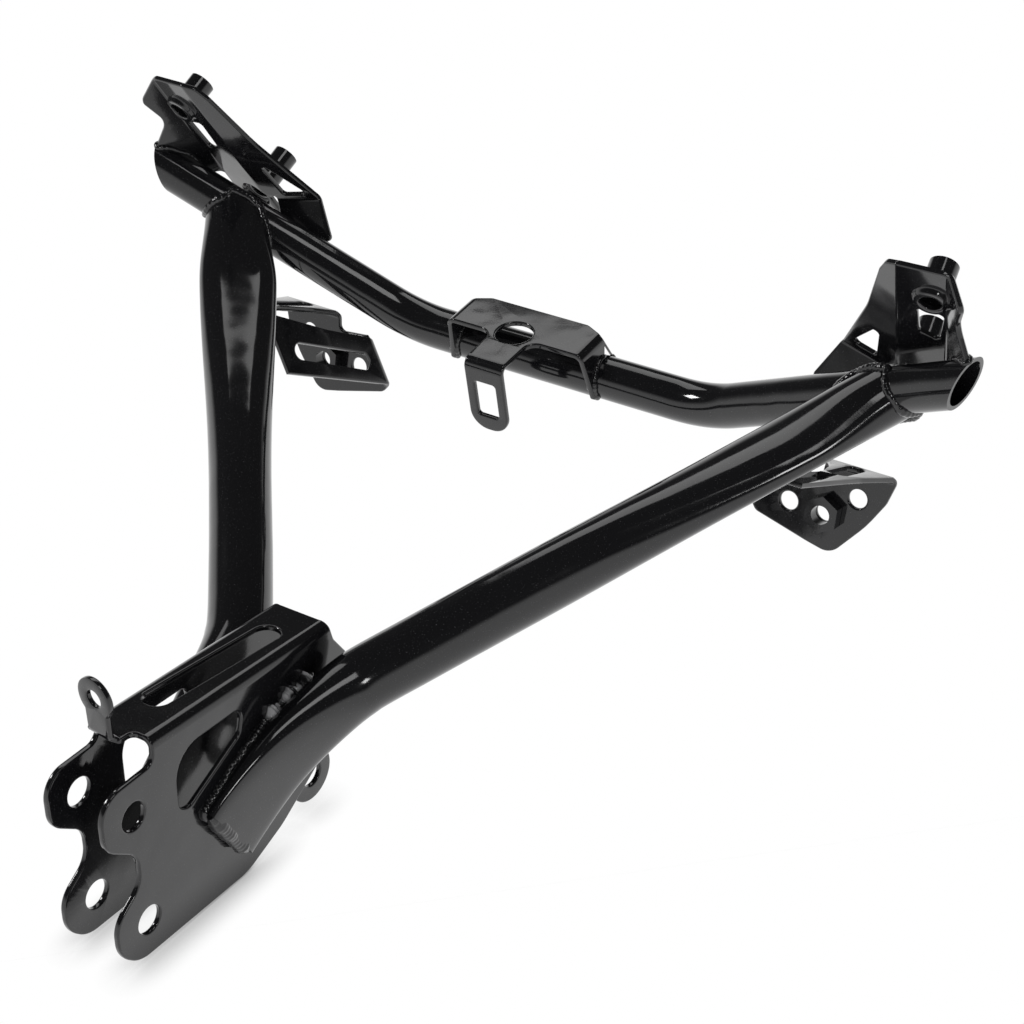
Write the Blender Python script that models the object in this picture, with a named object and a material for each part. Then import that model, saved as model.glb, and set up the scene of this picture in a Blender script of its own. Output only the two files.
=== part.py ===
# Fairing stay for a motorcycle's nose, in welded steel tube and folded sheet.
# Sizes are in metres. X runs across the motorcycle, +Y runs forward and +Z up.
# The origin is the centre of the upper bolt axis through the head bracket.
import math

import bmesh
import bpy
from mathutils import Matrix, Vector

# Stock and clearances
SHEET = 0.0025
SEAT_GAP = 0.0003
FOLD_RADIUS = 0.0033
ARC_STEP = math.radians(12)
FOLD_STEP = math.radians(20)
HOLE_SIDES = 20
TUBE_SIDES = 24

# Head bracket: one U pressing with a slotted web and two scalloped cheeks
HEAD_WIDTH = 0.0276
WEB_TILT = math.radians(4.5)
WEB_TOP = 0.0262
WEB_REAR = 0.1122
WEB_FRONT = 0.006
BOLT_HOLE = 0.0057
UPPER_BOLT = (0.0, 0.0)
LOWER_BOLT = (0.0020, -0.0485)
LOBE_RADIUS = 0.0150
WEB_SLOT_WIDTH = 0.0108
WEB_SLOT_FRONT = 0.0290
WEB_SLOT_REAR = 0.0975
EAR_RADIUS = 0.0083
EAR_HOLE = 0.0035
EAR_RISE = 0.0165
EAR_NECK = 0.0115
EAR_OFFSET = -0.0028
EAR_ANGLE = math.radians(84)
EAR_SKEW = math.radians(7.4)
RELIEF_DEPTH = 0.0068
CHEEK_FLOOR = -0.0654
CHEEK_REAR = 0.1145
CHEEK_WING = 0.0085
WEB_SLOT_SKEW = -0.0032

# Round lugs welded inside the cheeks
LUG_RADIUS = 0.0118
LUG_HOLE = 0.0052
LUG_CENTRE = (0.1005, -0.0490)

# Legs: round tube, pressed flat on the cheeks and oval under the crossbar
LEG_RADIUS = 0.0129
LEG_WALL = 0.0020
LEG_FLAT_HALF = 0.0029
LEG_OVAL_WIDE = 0.0172
LEG_SPREAD = math.radians(34.96)
LEG_RISE = math.radians(27.25)
LEG_HEEL_OUT = 0.0032
LEG_HEEL = (0.0957, -0.0108)
LEG_BEND_EASE = 0.004
FOOT_RINGS = 10
LEG_TOE = 0.058
LEG_FULL_ROUND = 0.014
LEG_FOOT_LIFT = 0.0045
LEG_LENGTH = 0.2546
LEG_OVAL_START = 0.108
LEG_OVAL_FULL = 0.158
LEG_NECK_LENGTH = 0.042
LEG_NECK_SHARE = 0.30

# Crossbar: bent tube with open ends
BAR_RADIUS = 0.0095
BAR_WALL = 0.0016
BAR_BEND_X = 0.0753
BAR_BEND_RADIUS = 0.060
BAR_OVERHANG = 0.0358
BAR_SIT = (-0.0028, 0.0007)
BAR_SWEEP = math.radians(-12.56)
BAR_RISE = math.radians(25.26)
BAR_END_PITCH = math.radians(-15)

# Centre bracket: folded saddle that straddles the crossbar
SADDLE_OFFSET = -0.0125
SADDLE_HALF = 0.0335
SADDLE_HEIGHT = 0.0180
SADDLE_HOLE = 0.0084
TAB_HALF = 0.0096
TAB_OFFSET = -0.0008
TAB_REACH = 0.0395
TAB_DROP = 0.0350
TAB_SLOT_WIDTH = 0.0106
TAB_SLOT_TOP = 0.0095
TAB_SLOT_LENGTH = 0.0180
TAB_FOLD = math.radians(93)
SADDLE_TILT = math.radians(8)
SADDLE_SPLAY = math.radians(83)

# Mirror brackets: dished two-seat plates with a gusset, a flange and a foot
MIRROR_DOWN = (-0.146, 0.521, -0.841)
MIRROR_FRONT = (-0.100, 0.830, 0.550)
MIRROR_ALONG = -0.0029
MIRROR_HEIGHT = 0.0651
GUSSET_FOLD = math.radians(20)
FOOT_FOLD = math.radians(52)
FLANGE_FOLD = math.radians(52)
FLANGE_LINE = 0.0198
FLANGE_DEPTH = 0.0105
FLANGE_FOOT = 0.0200
SEAT_DISH = 0.0022
SEAT_RADIUS = 0.0080
MIRROR_HOLE = 0.0041
UPPER_SEAT = (0.0134, -0.0155)
LOWER_SEAT = (0.0068, -0.0730)
MIRROR_STAND_OFF = 0.0065
UPPER_COLLAR = 0.0150
LOWER_COLLAR = 0.0195
COLLAR_RADIUS = 0.0058

# Side brackets: three-hole plates with a slotted neck and a slotted arm
SIDE_HOLE = 0.00415
SIDE_NUT_RADIUS = 0.0072
SIDE_NUT_HEIGHT = 0.0050
SIDE_LEAN = math.radians(11.3)
SIDE_PLACE = (-0.0215, 0.0262, -0.0553)
NECK_FOLD = math.radians(79.5)
ARM_FOLD = math.radians(95.5)

# Finish: gloss black paint on steel, plated nuts
PAINT = ((0.012, 0.012, 0.013), 0.22, 0.0)


for existing in list(bpy.data.objects):
    bpy.data.objects.remove(existing)


def paint(name, look):
    """Return a new material with its own colour, roughness and metallic value."""
    colour, roughness, metallic = look
    material = bpy.data.materials.new(name)
    material.use_nodes = True
    shader = material.node_tree.nodes["Principled BSDF"]
    shader.inputs["Base Color"].default_value = (*colour, 1.0)
    shader.inputs["Roughness"].default_value = roughness
    shader.inputs["Metallic"].default_value = metallic
    return material


def add_node(name, bm, look, matrix=None, side=1):
    """Turn a mesh under construction into a named object, mirrored for the left side."""
    if matrix is not None:
        bmesh.ops.transform(bm, matrix=matrix, verts=bm.verts)
    if side < 0:
        bmesh.ops.scale(bm, vec=(-1, 1, 1), verts=bm.verts)
    bmesh.ops.recalc_face_normals(bm, faces=bm.faces)
    mesh = bpy.data.meshes.new(name)
    bm.to_mesh(mesh)
    bm.free()
    node = bpy.data.objects.new(name, mesh)
    bpy.context.collection.objects.link(node)
    if look is None:
        node.hide_render = True
        node.display_type = "WIRE"
    else:
        mesh.materials.append(paint(name + "_finish", look))
    return node


def shade(node, limit=math.radians(32)):
    """Smooth the rounds of a node and keep its true corners sharp."""
    bm = bmesh.new()
    bm.from_mesh(node.data)
    for face in bm.faces:
        face.smooth = True
    for edge in bm.edges:
        edge.smooth = len(edge.link_faces) == 2 and edge.calc_face_angle(0.0) < limit
    bm.to_mesh(node.data)
    bm.free()


def cut(node, cutters):
    """Cut the hidden helper solids out of a node and keep the result as its mesh."""
    for cutter in cutters:
        boolean = node.modifiers.new("cut_" + cutter.name, "BOOLEAN")
        boolean.operation = "DIFFERENCE"
        boolean.solver = "EXACT"
        boolean.object = cutter
    graph = bpy.context.evaluated_depsgraph_get()
    result = bpy.data.meshes.new_from_object(node.evaluated_get(graph))
    node.modifiers.clear()
    node.data = result
    for cutter in cutters:
        bpy.data.objects.remove(cutter)


def rounded(corners):
    """Return a closed outline whose corners (x, y, radius) are turned into arcs."""
    points = []
    for index, (x, y, radius) in enumerate(corners):
        here = Vector((x, y))
        before = Vector(corners[index - 1][:2]) - here
        after = Vector(corners[(index + 1) % len(corners)][:2]) - here
        if radius == 0:
            points.append(here)
            continue
        turn = math.pi - before.angle(after)
        setback = min(radius * math.tan(turn / 2), 0.49 * before.length, 0.49 * after.length)
        true_radius = setback / math.tan(turn / 2)
        centre = here + (before.normalized() + after.normalized()).normalized() * math.hypot(setback, true_radius)
        start = here + before.normalized() * setback - centre
        sweep = math.copysign(turn, before.x * after.y - before.y * after.x) * -1
        steps = max(2, math.ceil(turn / ARC_STEP))
        for step in range(steps + 1):
            points.append(centre + Matrix.Rotation(sweep * step / steps, 2) @ start)
    return points


def circle(centre, radius, sides=HOLE_SIDES):
    """Return a closed ring of points in the blank's plane."""
    turns = (2 * math.pi * step / sides for step in range(sides))
    return [Vector((centre[0] + radius * math.cos(turn), centre[1] + radius * math.sin(turn))) for turn in turns]


def slot(start, end, width):
    """Return the outline of a round-ended slot between two end points."""
    start, end = Vector(start), Vector(end)
    along = (end - start).normalized()
    across = Vector((-along.y, along.x)) * width / 2
    centres = (start + along * width / 2, end - along * width / 2)
    points = []
    for centre, first in ((centres[0], across), (centres[1], -across)):
        steps = HOLE_SIDES // 2
        points += [centre + Matrix.Rotation(math.pi * step / steps, 2) @ first for step in range(steps + 1)]
    return points


def ring_of_edges(bm, points):
    """Add a closed loop of vertices and edges to a mesh and return both."""
    verts = [bm.verts.new((point[0], point[1], 0.0)) for point in points]
    edges = [bm.edges.new((verts[index - 1], verts[index])) for index in range(len(verts))]
    return verts, edges


def blank(outline, holes=(), dishes=()):
    """Return a flat blank of sheet. A dish is (centre, hole radius, outer radius, height)."""
    bm = bmesh.new()
    edges = ring_of_edges(bm, outline)[1]
    for hole in holes:
        edges += ring_of_edges(bm, hole)[1]
    seats = []
    for centre, bore, radius, height in dishes:
        verts, rim = ring_of_edges(bm, circle(centre, radius))
        edges += rim
        seats.append((verts, centre, bore, radius, height))
    bmesh.ops.triangle_fill(bm, use_beauty=True, use_dissolve=False, edges=edges)
    for verts, centre, bore, radius, height in seats:
        flat = bore + 0.55 * (radius - bore)
        for size, lift in ((flat + 0.7 * (radius - flat), 0.25 * height), (flat, height), (bore, height)):
            inner = ring_of_edges(bm, circle(centre, size))[0]
            for vert in inner:
                vert.co.z = lift
            for index in range(len(verts)):
                bm.faces.new((verts[index - 1], verts[index], inner[index], inner[index - 1]))
            verts = inner
    sheet = bmesh.ops.extrude_face_region(bm, geom=bm.faces[:])
    raised = [item for item in sheet["geom"] if isinstance(item, bmesh.types.BMVert)]
    bmesh.ops.translate(bm, vec=(0, 0, SHEET), verts=raised)
    bmesh.ops.translate(bm, vec=(0, 0, -SHEET / 2), verts=bm.verts)
    return bm


def setback(angle):
    """Return how far a bend starts before the corner of its two faces."""
    return FOLD_RADIUS * math.tan(abs(angle) / 2)


def developed(distance, angle):
    """Return the flat length of a flap that ends this far beyond its folded corner."""
    return distance - 2 * setback(angle) + FOLD_RADIUS * abs(angle)


def fold(bm, bends):
    """Fold a flat blank. Each bend is (corner, direction, angle, member): the flap that lies left
    of the line and passes the member test turns towards +Z for a positive angle. Outer bends
    come first."""
    lines = []
    for corner, direction, angle, member in bends:
        left = Vector((-direction[1], direction[0], 0)).normalized()
        origin = Vector((*corner, 0)) - left * setback(angle)
        reach = FOLD_RADIUS * abs(angle)
        lines.append((origin, left, angle, reach, member))
        steps = max(3, math.ceil(abs(angle) / FOLD_STEP))
        for step in range(steps + 1):
            faces = [face for face in bm.faces if any(member(vert.co) for vert in face.verts)]
            edges = {edge for face in faces for edge in face.edges}
            verts = {vert for face in faces for vert in face.verts}
            point = origin + left * reach * step / steps
            bmesh.ops.bisect_plane(bm, geom=[*verts, *edges, *faces], dist=1e-7, plane_co=point, plane_no=left)
    flat = {vert: vert.co.copy() for vert in bm.verts}
    for origin, left, angle, reach, member in lines:
        axis = left.cross(Vector((0, 0, 1)))
        centre = Vector((0, 0, math.copysign(FOLD_RADIUS, angle)))
        for vert, at in flat.items():
            distance = (at - origin).dot(left)
            if distance <= 1e-6 or not member(at):
                continue
            turn = angle * min(distance / reach, 1.0)
            arm = vert.co - origin - left * min(distance, reach) - centre
            vert.co = origin + centre + Matrix.Rotation(turn, 3, axis) @ arm
    return bm


def loft(sections, closed=False):
    """Return a skin through rings of points, each a list of vectors of one length."""
    bm = bmesh.new()
    rings = [[bm.verts.new(point) for point in section] for section in sections]
    count = len(rings[0])
    last = len(rings) if closed else len(rings) - 1
    for index in range(last):
        low, high = rings[index], rings[(index + 1) % len(rings)]
        for turn in range(count):
            bm.faces.new((low[turn - 1], low[turn], high[turn], high[turn - 1]))
    if not closed:
        bm.faces.new(rings[0])
        bm.faces.new(rings[-1])
    return bm


def smooth_step(value):
    """Return an S curve from 0 to 1."""
    value = min(max(value, 0.0), 1.0)
    return value * value * (3 - 2 * value)


def rod(name, start, end, radius):
    """Return a hidden round cutter between two points."""
    axis = (end - start).normalized()
    across = axis.orthogonal().normalized()
    up = axis.cross(across)
    turns = [2 * math.pi * step / (2 * TUBE_SIDES) for step in range(2 * TUBE_SIDES)]
    ends = [[point + (across * math.cos(turn) + up * math.sin(turn)) * radius for turn in turns] for point in (start, end)]
    return add_node(name, loft(ends), None)


def frame_matrix(origin, first, second, third):
    """Return the placing matrix of a local frame."""
    matrix = Matrix((first, second, third)).transposed().to_4x4()
    matrix.translation = origin
    return matrix


def sweep(points):
    """Return the directions across a path at each point, without twist."""
    frames = []
    across = (points[1] - points[0]).orthogonal().normalized()
    for index, point in enumerate(points):
        ahead = points[min(index + 1, len(points) - 1)] - point
        behind = point - points[max(index - 1, 0)]
        along = (ahead.normalized() + behind.normalized()).normalized()
        across = (across - along * across.dot(along)).normalized()
        frames.append((across, along.cross(across)))
    return frames


# Main lines of the frame, from which every welded piece takes its place
leg_way = Vector((math.sin(LEG_SPREAD), math.cos(LEG_SPREAD) * math.cos(LEG_RISE), math.cos(LEG_SPREAD) * math.sin(LEG_RISE)))
leg_heel = Vector((HEAD_WIDTH / 2 + LEG_HEEL_OUT, *LEG_HEEL))
leg_end = leg_heel + leg_way * LEG_LENGTH
bar_way = Vector((math.cos(BAR_RISE) * math.cos(BAR_SWEEP), math.cos(BAR_RISE) * math.sin(BAR_SWEEP), math.sin(BAR_RISE)))
bar_joint = leg_end + Vector((0, *BAR_SIT))
bar_bend = bar_joint + bar_way * ((BAR_BEND_X - bar_joint.x) / bar_way.x)
bar_end = bar_joint + bar_way * BAR_OVERHANG
bar_centre = Vector((0, bar_bend.y, bar_bend.z))


# Head bracket. The blank lies flat with the web in the middle and a cheek on each side.
# Its X runs across the web, its Y along the folds, and a cheek point (y, z) is unrolled onto it.
web_level = WEB_TOP - SHEET / 2
cheek_middle = (HEAD_WIDTH - SHEET) / 2


def on_blank(y, z, radius=0.0):
    """Unroll a point of the right cheek's side view onto the flat blank."""
    along = y * math.cos(WEB_TILT) - (z - web_level) * math.sin(WEB_TILT)
    depth = -y * math.sin(WEB_TILT) - (z - web_level) * math.cos(WEB_TILT)
    return (cheek_middle + developed(depth, math.pi / 2), along, radius)


upper_front, upper_level = UPPER_BOLT[0] - LOBE_RADIUS, UPPER_BOLT[1]
lower_front, lower_level = LOWER_BOLT[0] - LOBE_RADIUS, LOWER_BOLT[1]
waist = UPPER_BOLT[0]
cheek = [
    on_blank(0.0122, upper_level + LOBE_RADIUS, 0.0050),
    on_blank(upper_front - 0.0004, upper_level + LOBE_RADIUS, 0.0095),
    on_blank(upper_front - 0.0003, upper_level - 0.0035, 0.0085),
    on_blank(waist - 0.0002, upper_level - 0.0170, 0.0100),
    on_blank(waist - 0.0002, lower_level + 0.0180, 0.0100),
    on_blank(lower_front - 0.0014, lower_level + 0.0085, 0.0070),
    on_blank(lower_front - 0.0010, lower_level - 0.0025, 0.0070),
    on_blank(lower_front + 0.0060, lower_level - 0.0128, 0.0070),
    on_blank(0.0560, CHEEK_FLOOR, 0.0120),
    on_blank(0.0780, CHEEK_FLOOR + 0.0082, 0.0300),
    on_blank(CHEEK_REAR, CHEEK_FLOOR + 0.0304, 0.0030),
    on_blank(CHEEK_REAR + CHEEK_WING, -0.0030, 0.0030),
    on_blank(CHEEK_REAR + 0.0005, 0.0080, 0.0060),
]
notch_top = WEB_FRONT + RELIEF_DEPTH
tongue = EAR_NECK / 2 + 0.0018
outline = [
    (EAR_OFFSET + tongue, WEB_FRONT, 0.0012),
    (EAR_OFFSET + tongue, notch_top, 0.0025),
    (cheek_middle - 0.0005, notch_top, 0.0040),
    *cheek,
    (cheek_middle - FOLD_RADIUS, WEB_REAR, 0.0),
    (-cheek_middle + FOLD_RADIUS, WEB_REAR, 0.0),
    *[(-x, y, radius) for x, y, radius in reversed(cheek)],
    (EAR_OFFSET - tongue, notch_top, 0.0010),
    (EAR_OFFSET - tongue, WEB_FRONT, 0.0012),
]
ear_way = Vector((-math.cos(EAR_SKEW), math.sin(EAR_SKEW)))
ear_out = Vector((-ear_way.y, ear_way.x))
ear_root = Vector((EAR_OFFSET, WEB_FRONT)) + ear_out * 0.0005
ear_centre = ear_root + ear_out * developed(EAR_RISE, EAR_ANGLE)
shoulder = math.acos(EAR_NECK / 2 / EAR_RADIUS)
ear_steps = 2 * HOLE_SIDES // 3
ear = [ear_root + ear_way * EAR_NECK / 2]
for step in range(ear_steps + 1):
    turn = -shoulder + (math.pi + 2 * shoulder) * step / ear_steps
    ear.append(ear_centre + (ear_way * math.cos(turn) + ear_out * math.sin(turn)) * EAR_RADIUS)
ear.append(ear_root - ear_way * EAR_NECK / 2)
window = [
    on_blank(0.0228, -0.0172, 0.0050),
    on_blank(0.0228, 0.0122, 0.0120),
    on_blank(0.0602, 0.0100, 0.0060),
    on_blank(0.0576, -0.0010, 0.0050),
]
bolts = [circle(on_blank(*bolt), BOLT_HOLE) for bolt in (UPPER_BOLT, LOWER_BOLT)]
cheek_holes = [rounded(window), *bolts]
head_holes = [
    *cheek_holes,
    *[[Vector((-point.x, point.y)) for point in hole] for hole in cheek_holes],
    slot((WEB_SLOT_SKEW, WEB_SLOT_FRONT), (0.0004, WEB_SLOT_REAR), WEB_SLOT_WIDTH),
    circle(ear_centre, EAR_HOLE),
]


def in_ear(at):
    """Tell whether a blank point belongs to the tongue and the ear in front of the web."""
    return at.y < notch_top - 0.0010 and abs(at.x - EAR_OFFSET) < 0.0105


head = blank(rounded(outline) + ear, head_holes)
fold(head, [
    (ear_root, ear_way, EAR_ANGLE, in_ear),
    ((cheek_middle, 0), (0, -1), -math.pi / 2, lambda at: at.x > 0 and not in_ear(at)),
    ((-cheek_middle, 0), (0, 1), -math.pi / 2, lambda at: at.x < 0 and not in_ear(at)),
])
web_frame = frame_matrix(
    Vector((0, 0, web_level)),
    Vector((1, 0, 0)),
    Vector((0, math.cos(WEB_TILT), -math.sin(WEB_TILT))),
    Vector((0, math.sin(WEB_TILT), math.cos(WEB_TILT))),
)
head_bracket = add_node("head_bracket", head, PAINT, web_frame)


# Lugs: round eyes on the inner faces of the cheeks, half below their lower edge
for side, name in ((1, "cheek_lug_right"), (-1, "cheek_lug_left")):
    lug = blank(circle((0, 0), LUG_RADIUS, TUBE_SIDES), [circle((0, 0), LUG_HOLE)])
    place = frame_matrix(
        Vector((HEAD_WIDTH / 2 - 1.5 * SHEET - SEAT_GAP, *LUG_CENTRE)),
        Vector((0, 1, 0)),
        Vector((0, 0, 1)),
        Vector((1, 0, 0)),
    )
    add_node(name, lug, PAINT, place, side)


# Legs. The foot lies on the cheek and opens out to the round tube, and the top is pressed
# oval and notched to sit under the crossbar.
def pressed_half(wide):
    """Return the half thickness of the tube pressed to this half width."""
    return (math.pi * LEG_RADIUS - 2 * wide) / (math.pi - 2)


def pressed_wide(high):
    """Return the half width of the tube pressed to this half thickness."""
    return (math.pi * LEG_RADIUS - high * (math.pi - 2)) / 2


def leg_path():
    """Return the points, section frames and half sizes along the right leg."""
    cheek_way = Vector((0, math.cos(LEG_RISE), math.sin(LEG_RISE)))
    cheek_up = Vector((0, -math.sin(LEG_RISE), math.cos(LEG_RISE)))
    level = Vector((leg_way.y, -leg_way.x, 0)).normalized()
    run = LEG_LENGTH * math.cos(LEG_SPREAD)
    foot = [-LEG_TOE + (LEG_TOE + 0.034) * step / FOOT_RINGS for step in range(FOOT_RINGS + 1)]
    shaft = [0.060, LEG_OVAL_START]
    oval = [LEG_OVAL_START + (LEG_OVAL_FULL - LEG_OVAL_START) * step / 4 for step in range(1, 5)]
    neck = [run - LEG_NECK_LENGTH * (1 - step / 4) for step in range(1, 5)]
    points, sizes = [], []
    for along in [*foot, *shaft, *oval, *neck]:
        opening = min((along + LEG_TOE) / (LEG_TOE + LEG_FULL_ROUND), 1.0) ** 1.5
        high = LEG_FLAT_HALF + (LEG_RADIUS - LEG_FLAT_HALF) * opening
        wide = pressed_wide(high)
        if along > LEG_OVAL_START:
            share = smooth_step((along - LEG_OVAL_START) / (LEG_OVAL_FULL - LEG_OVAL_START))
            share -= (1 - LEG_NECK_SHARE) * smooth_step((along - run + LEG_NECK_LENGTH) / LEG_NECK_LENGTH)
            wide = LEG_RADIUS + (LEG_OVAL_WIDE - LEG_RADIUS) * share
            high = pressed_half(wide)
        straight = leg_heel.x + along * math.tan(LEG_SPREAD)
        seated = HEAD_WIDTH / 2 + SEAT_GAP + high
        across = straight if along > 0.040 else (straight + seated + math.hypot(straight - seated, LEG_BEND_EASE)) / 2
        lift = LEG_FOOT_LIFT * math.exp(-((along + 0.022) / 0.030) ** 2)
        points.append(Vector((across, *LEG_HEEL)) + cheek_way * along + cheek_up * lift)
        sizes.append((wide, high))
    frames = []
    for index, point in enumerate(points):
        ahead = points[min(index + 1, len(points) - 1)] - point
        behind = point - points[max(index - 1, 0)]
        along = (ahead.normalized() + behind.normalized()).normalized()
        wide = cheek_up if index <= FOOT_RINGS + 1 else level
        wide = (wide - along * wide.dot(along)).normalized()
        turn = cheek_up.angle(wide) * math.copysign(1, cheek_up.cross(wide).dot(along))
        frames.append((wide, along.cross(wide), round(turn / (2 * math.pi / TUBE_SIDES))))
    return points, frames, sizes


def leg_rings(inset):
    """Return the rings of the leg's skin, this far inside its outer face."""
    rings = []
    points, frames, sizes = leg_path()
    for point, (across, up, shift), (wide, high) in zip(points, frames, sizes):
        wide, high = wide - inset, high - inset
        ring = []
        for step in range(TUBE_SIDES):
            turn = 2 * math.pi * (step - shift) / TUBE_SIDES
            spread = math.tanh(3 * math.cos(turn)) / math.tanh(3)
            out = (wide - high) * spread + high * math.cos(turn)
            ring.append(point + across * out + up * high * math.sin(turn))
        rings.append(ring)
    plane = (leg_way - bar_way * leg_way.dot(bar_way)).normalized()
    rings[-1] = [at + leg_way * ((bar_joint - at).dot(plane) / leg_way.dot(plane)) for at in rings[-1]]
    return rings


def make_leg(side, name):
    """Add one leg, trimmed to the plane of the crossbar's axis and notched for the crossbar."""
    skin = leg_rings(0.0) + leg_rings(LEG_WALL)[::-1]
    leg = add_node(name, loft(skin, closed=True), PAINT)
    notch = rod("leg_notch", bar_joint - bar_way * 0.05, bar_joint + bar_way * 0.05, BAR_RADIUS + SEAT_GAP)
    cut(leg, [notch])
    if side < 0:
        leg.data.transform(Matrix.Scale(-1, 4, Vector((1, 0, 0))))
        leg.data.flip_normals()


make_leg(1, "leg_right")
make_leg(-1, "leg_left")


# Crossbar: level middle and two arms that sweep back and up to open ends
def bar_path():
    """Return the points of the crossbar's axis from the left end to the right end."""
    turn = bar_way.angle(Vector((1, 0, 0)))
    reach = BAR_BEND_RADIUS * math.tan(turn / 2)
    inward = Vector((-1, 0, 0))
    away = (bar_way + inward).normalized()
    pivot = bar_bend + away * BAR_BEND_RADIUS / math.cos(turn / 2)
    start = bar_bend + inward * reach - pivot
    axis = Vector((1, 0, 0)).cross(bar_way).normalized()
    steps = 2 * math.ceil(turn / ARC_STEP)
    half = [pivot + Matrix.Rotation(turn * step / steps, 3, axis) @ start for step in range(steps + 1)]
    half.append(bar_end)
    return [Vector((-point.x, point.y, point.z)) for point in reversed(half)] + half


def tube_round(points, radius, wall, pitch=None):
    """Return an open round tube along a path, its ends cut square or pitched to the level."""
    frames = sweep(points)
    ways = {0: points[0] - points[1], len(points) - 1: points[-1] - points[-2]}
    skins = []
    for inset, order in ((0.0, range(len(points))), (wall, reversed(range(len(points))))):
        for index in order:
            across, up = frames[index]
            turns = (2 * math.pi * step / TUBE_SIDES for step in range(TUBE_SIDES))
            ring = [points[index] + (across * math.cos(turn) + up * math.sin(turn)) * (radius - inset) for turn in turns]
            if pitch is not None and index in ways:
                way = ways[index]
                face = Vector((way.x, way.y, 0)).normalized() * math.cos(pitch) + Vector((0, 0, math.sin(pitch)))
                ring = [at + way * ((points[index] - at).dot(face) / way.dot(face)) for at in ring]
            skins.append(ring)
    return loft(skins, closed=True)


add_node("crossbar", tube_round(bar_path(), BAR_RADIUS, BAR_WALL, BAR_END_PITCH), PAINT)


# Centre bracket: a saddle plate with two leaves coped to the crossbar and a slotted tab
saddle_way = Vector((0, math.cos(SADDLE_TILT), math.sin(SADDLE_TILT)))
saddle_side = [
    (TAB_HALF, -TAB_REACH - developed(TAB_DROP, TAB_FOLD), TAB_HALF * 0.9),
    (TAB_HALF, -0.0172, 0.0060),
    (SADDLE_HALF - 0.0010, -0.0172, 0.0030),
    (SADDLE_HALF + developed(0.0238, SADDLE_SPLAY), -0.0134, 0.0020),
    (SADDLE_HALF + developed(0.0238, SADDLE_SPLAY), -0.0050, 0.0),
    (SADDLE_HALF + developed(0.0130, SADDLE_SPLAY), 0.0065, 0.0),
    (SADDLE_HALF, 0.0010, 0.0030),
    (SADDLE_HALF - 0.0087, 0.0052, 0.0040),
]
saddle_outline = saddle_side + [(-x, y, radius) for x, y, radius in reversed(saddle_side)]
saddle_outline = [
    (x + TAB_OFFSET if abs(x) < SADDLE_HALF / 2 else x, y, radius)
    for x, y, radius in saddle_outline
]
slot_top = -TAB_REACH - developed(TAB_SLOT_TOP, TAB_FOLD)
slot_half = TAB_SLOT_WIDTH / 2
tab_slot = rounded([
    (TAB_OFFSET - slot_half, slot_top, 0.0015),
    (TAB_OFFSET + slot_half, slot_top, 0.0015),
    (TAB_OFFSET + slot_half, slot_top - TAB_SLOT_LENGTH, 0.0015),
    (TAB_OFFSET - slot_half, slot_top - TAB_SLOT_LENGTH, 0.0015),
])
saddle = blank(rounded(saddle_outline), [circle((-0.0010, -0.0145), SADDLE_HOLE), tab_slot])
fold(saddle, [
    ((0, -TAB_REACH), (-1, 0), -TAB_FOLD, lambda at: at.y < -0.025),
    ((SADDLE_HALF, 0), (0, -1), -SADDLE_SPLAY, lambda at: at.x > 0.020 and at.y > -0.025),
    ((-SADDLE_HALF, 0), (0, 1), -SADDLE_SPLAY, lambda at: at.x < -0.020 and at.y > -0.025),
])
saddle_frame = frame_matrix(
    bar_centre + Vector((SADDLE_OFFSET, 0, SADDLE_HEIGHT)),
    Vector((1, 0, 0)),
    saddle_way,
    Vector((1, 0, 0)).cross(saddle_way),
)
centre_bracket = add_node("centre_bracket", saddle, PAINT, saddle_frame)
cope = Vector((BAR_BEND_X, 0, 0))
cut(centre_bracket, [rod("saddle_cope", bar_centre - cope, bar_centre + cope, BAR_RADIUS + SEAT_GAP)])


# Mirror brackets. The blank's X runs outboard and its Y up the fold between web and gusset.
mirror_down = Vector(MIRROR_DOWN).normalized()
mirror_front = Vector(MIRROR_FRONT)
mirror_front = (mirror_front - mirror_down * mirror_front.dot(mirror_down)).normalized()
mirror_out = mirror_down.cross(mirror_front)
mirror_origin = (
    bar_joint
    + bar_way * MIRROR_ALONG
    - mirror_down * MIRROR_HEIGHT
    + mirror_front * (MIRROR_STAND_OFF + BAR_RADIUS)
)
mirror_frame = frame_matrix(mirror_origin, mirror_out, -mirror_down, -mirror_front)
flange_rim = FLANGE_LINE + developed(FLANGE_DEPTH, FLANGE_FOLD)
mirror_outline = [
    (-0.0078, -0.0080, 0.0030),
    (-0.0050, -0.0010, 0.0040),
    (0.0000, 0.0022, 0.0030),
    (FLANGE_LINE - 0.0010, 0.0024, 0.0060),
    (flange_rim + 0.0010, -0.0060, 0.0035),
    (flange_rim - 0.0025, -0.0215, 0.0080),
    (FLANGE_LINE + FLANGE_FOOT, -0.0320, 0.0020),
    (FLANGE_LINE + FLANGE_FOOT, -0.0420, 0.0),
    (FLANGE_LINE + FLANGE_FOOT / 2, -0.0560, 0.0030),
    (FLANGE_LINE + 0.0005, -0.0600, 0.0040),
    (FLANGE_LINE + 0.0005, LOWER_SEAT[1] - 0.0135, 0.0120),
    (0.0014, LOWER_SEAT[1] - 0.0135, 0.0040),
    (0.0014, -0.0740, 0.0012),
    (-0.0022, -0.0740, 0.0012),
    (-0.0050, -0.0900, 0.0020),
    (-0.0310, -0.0985, 0.0020),
    (-0.0272, -0.0785, 0.0),
    (-0.0140, -0.0385, 0.0600),
]
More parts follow.
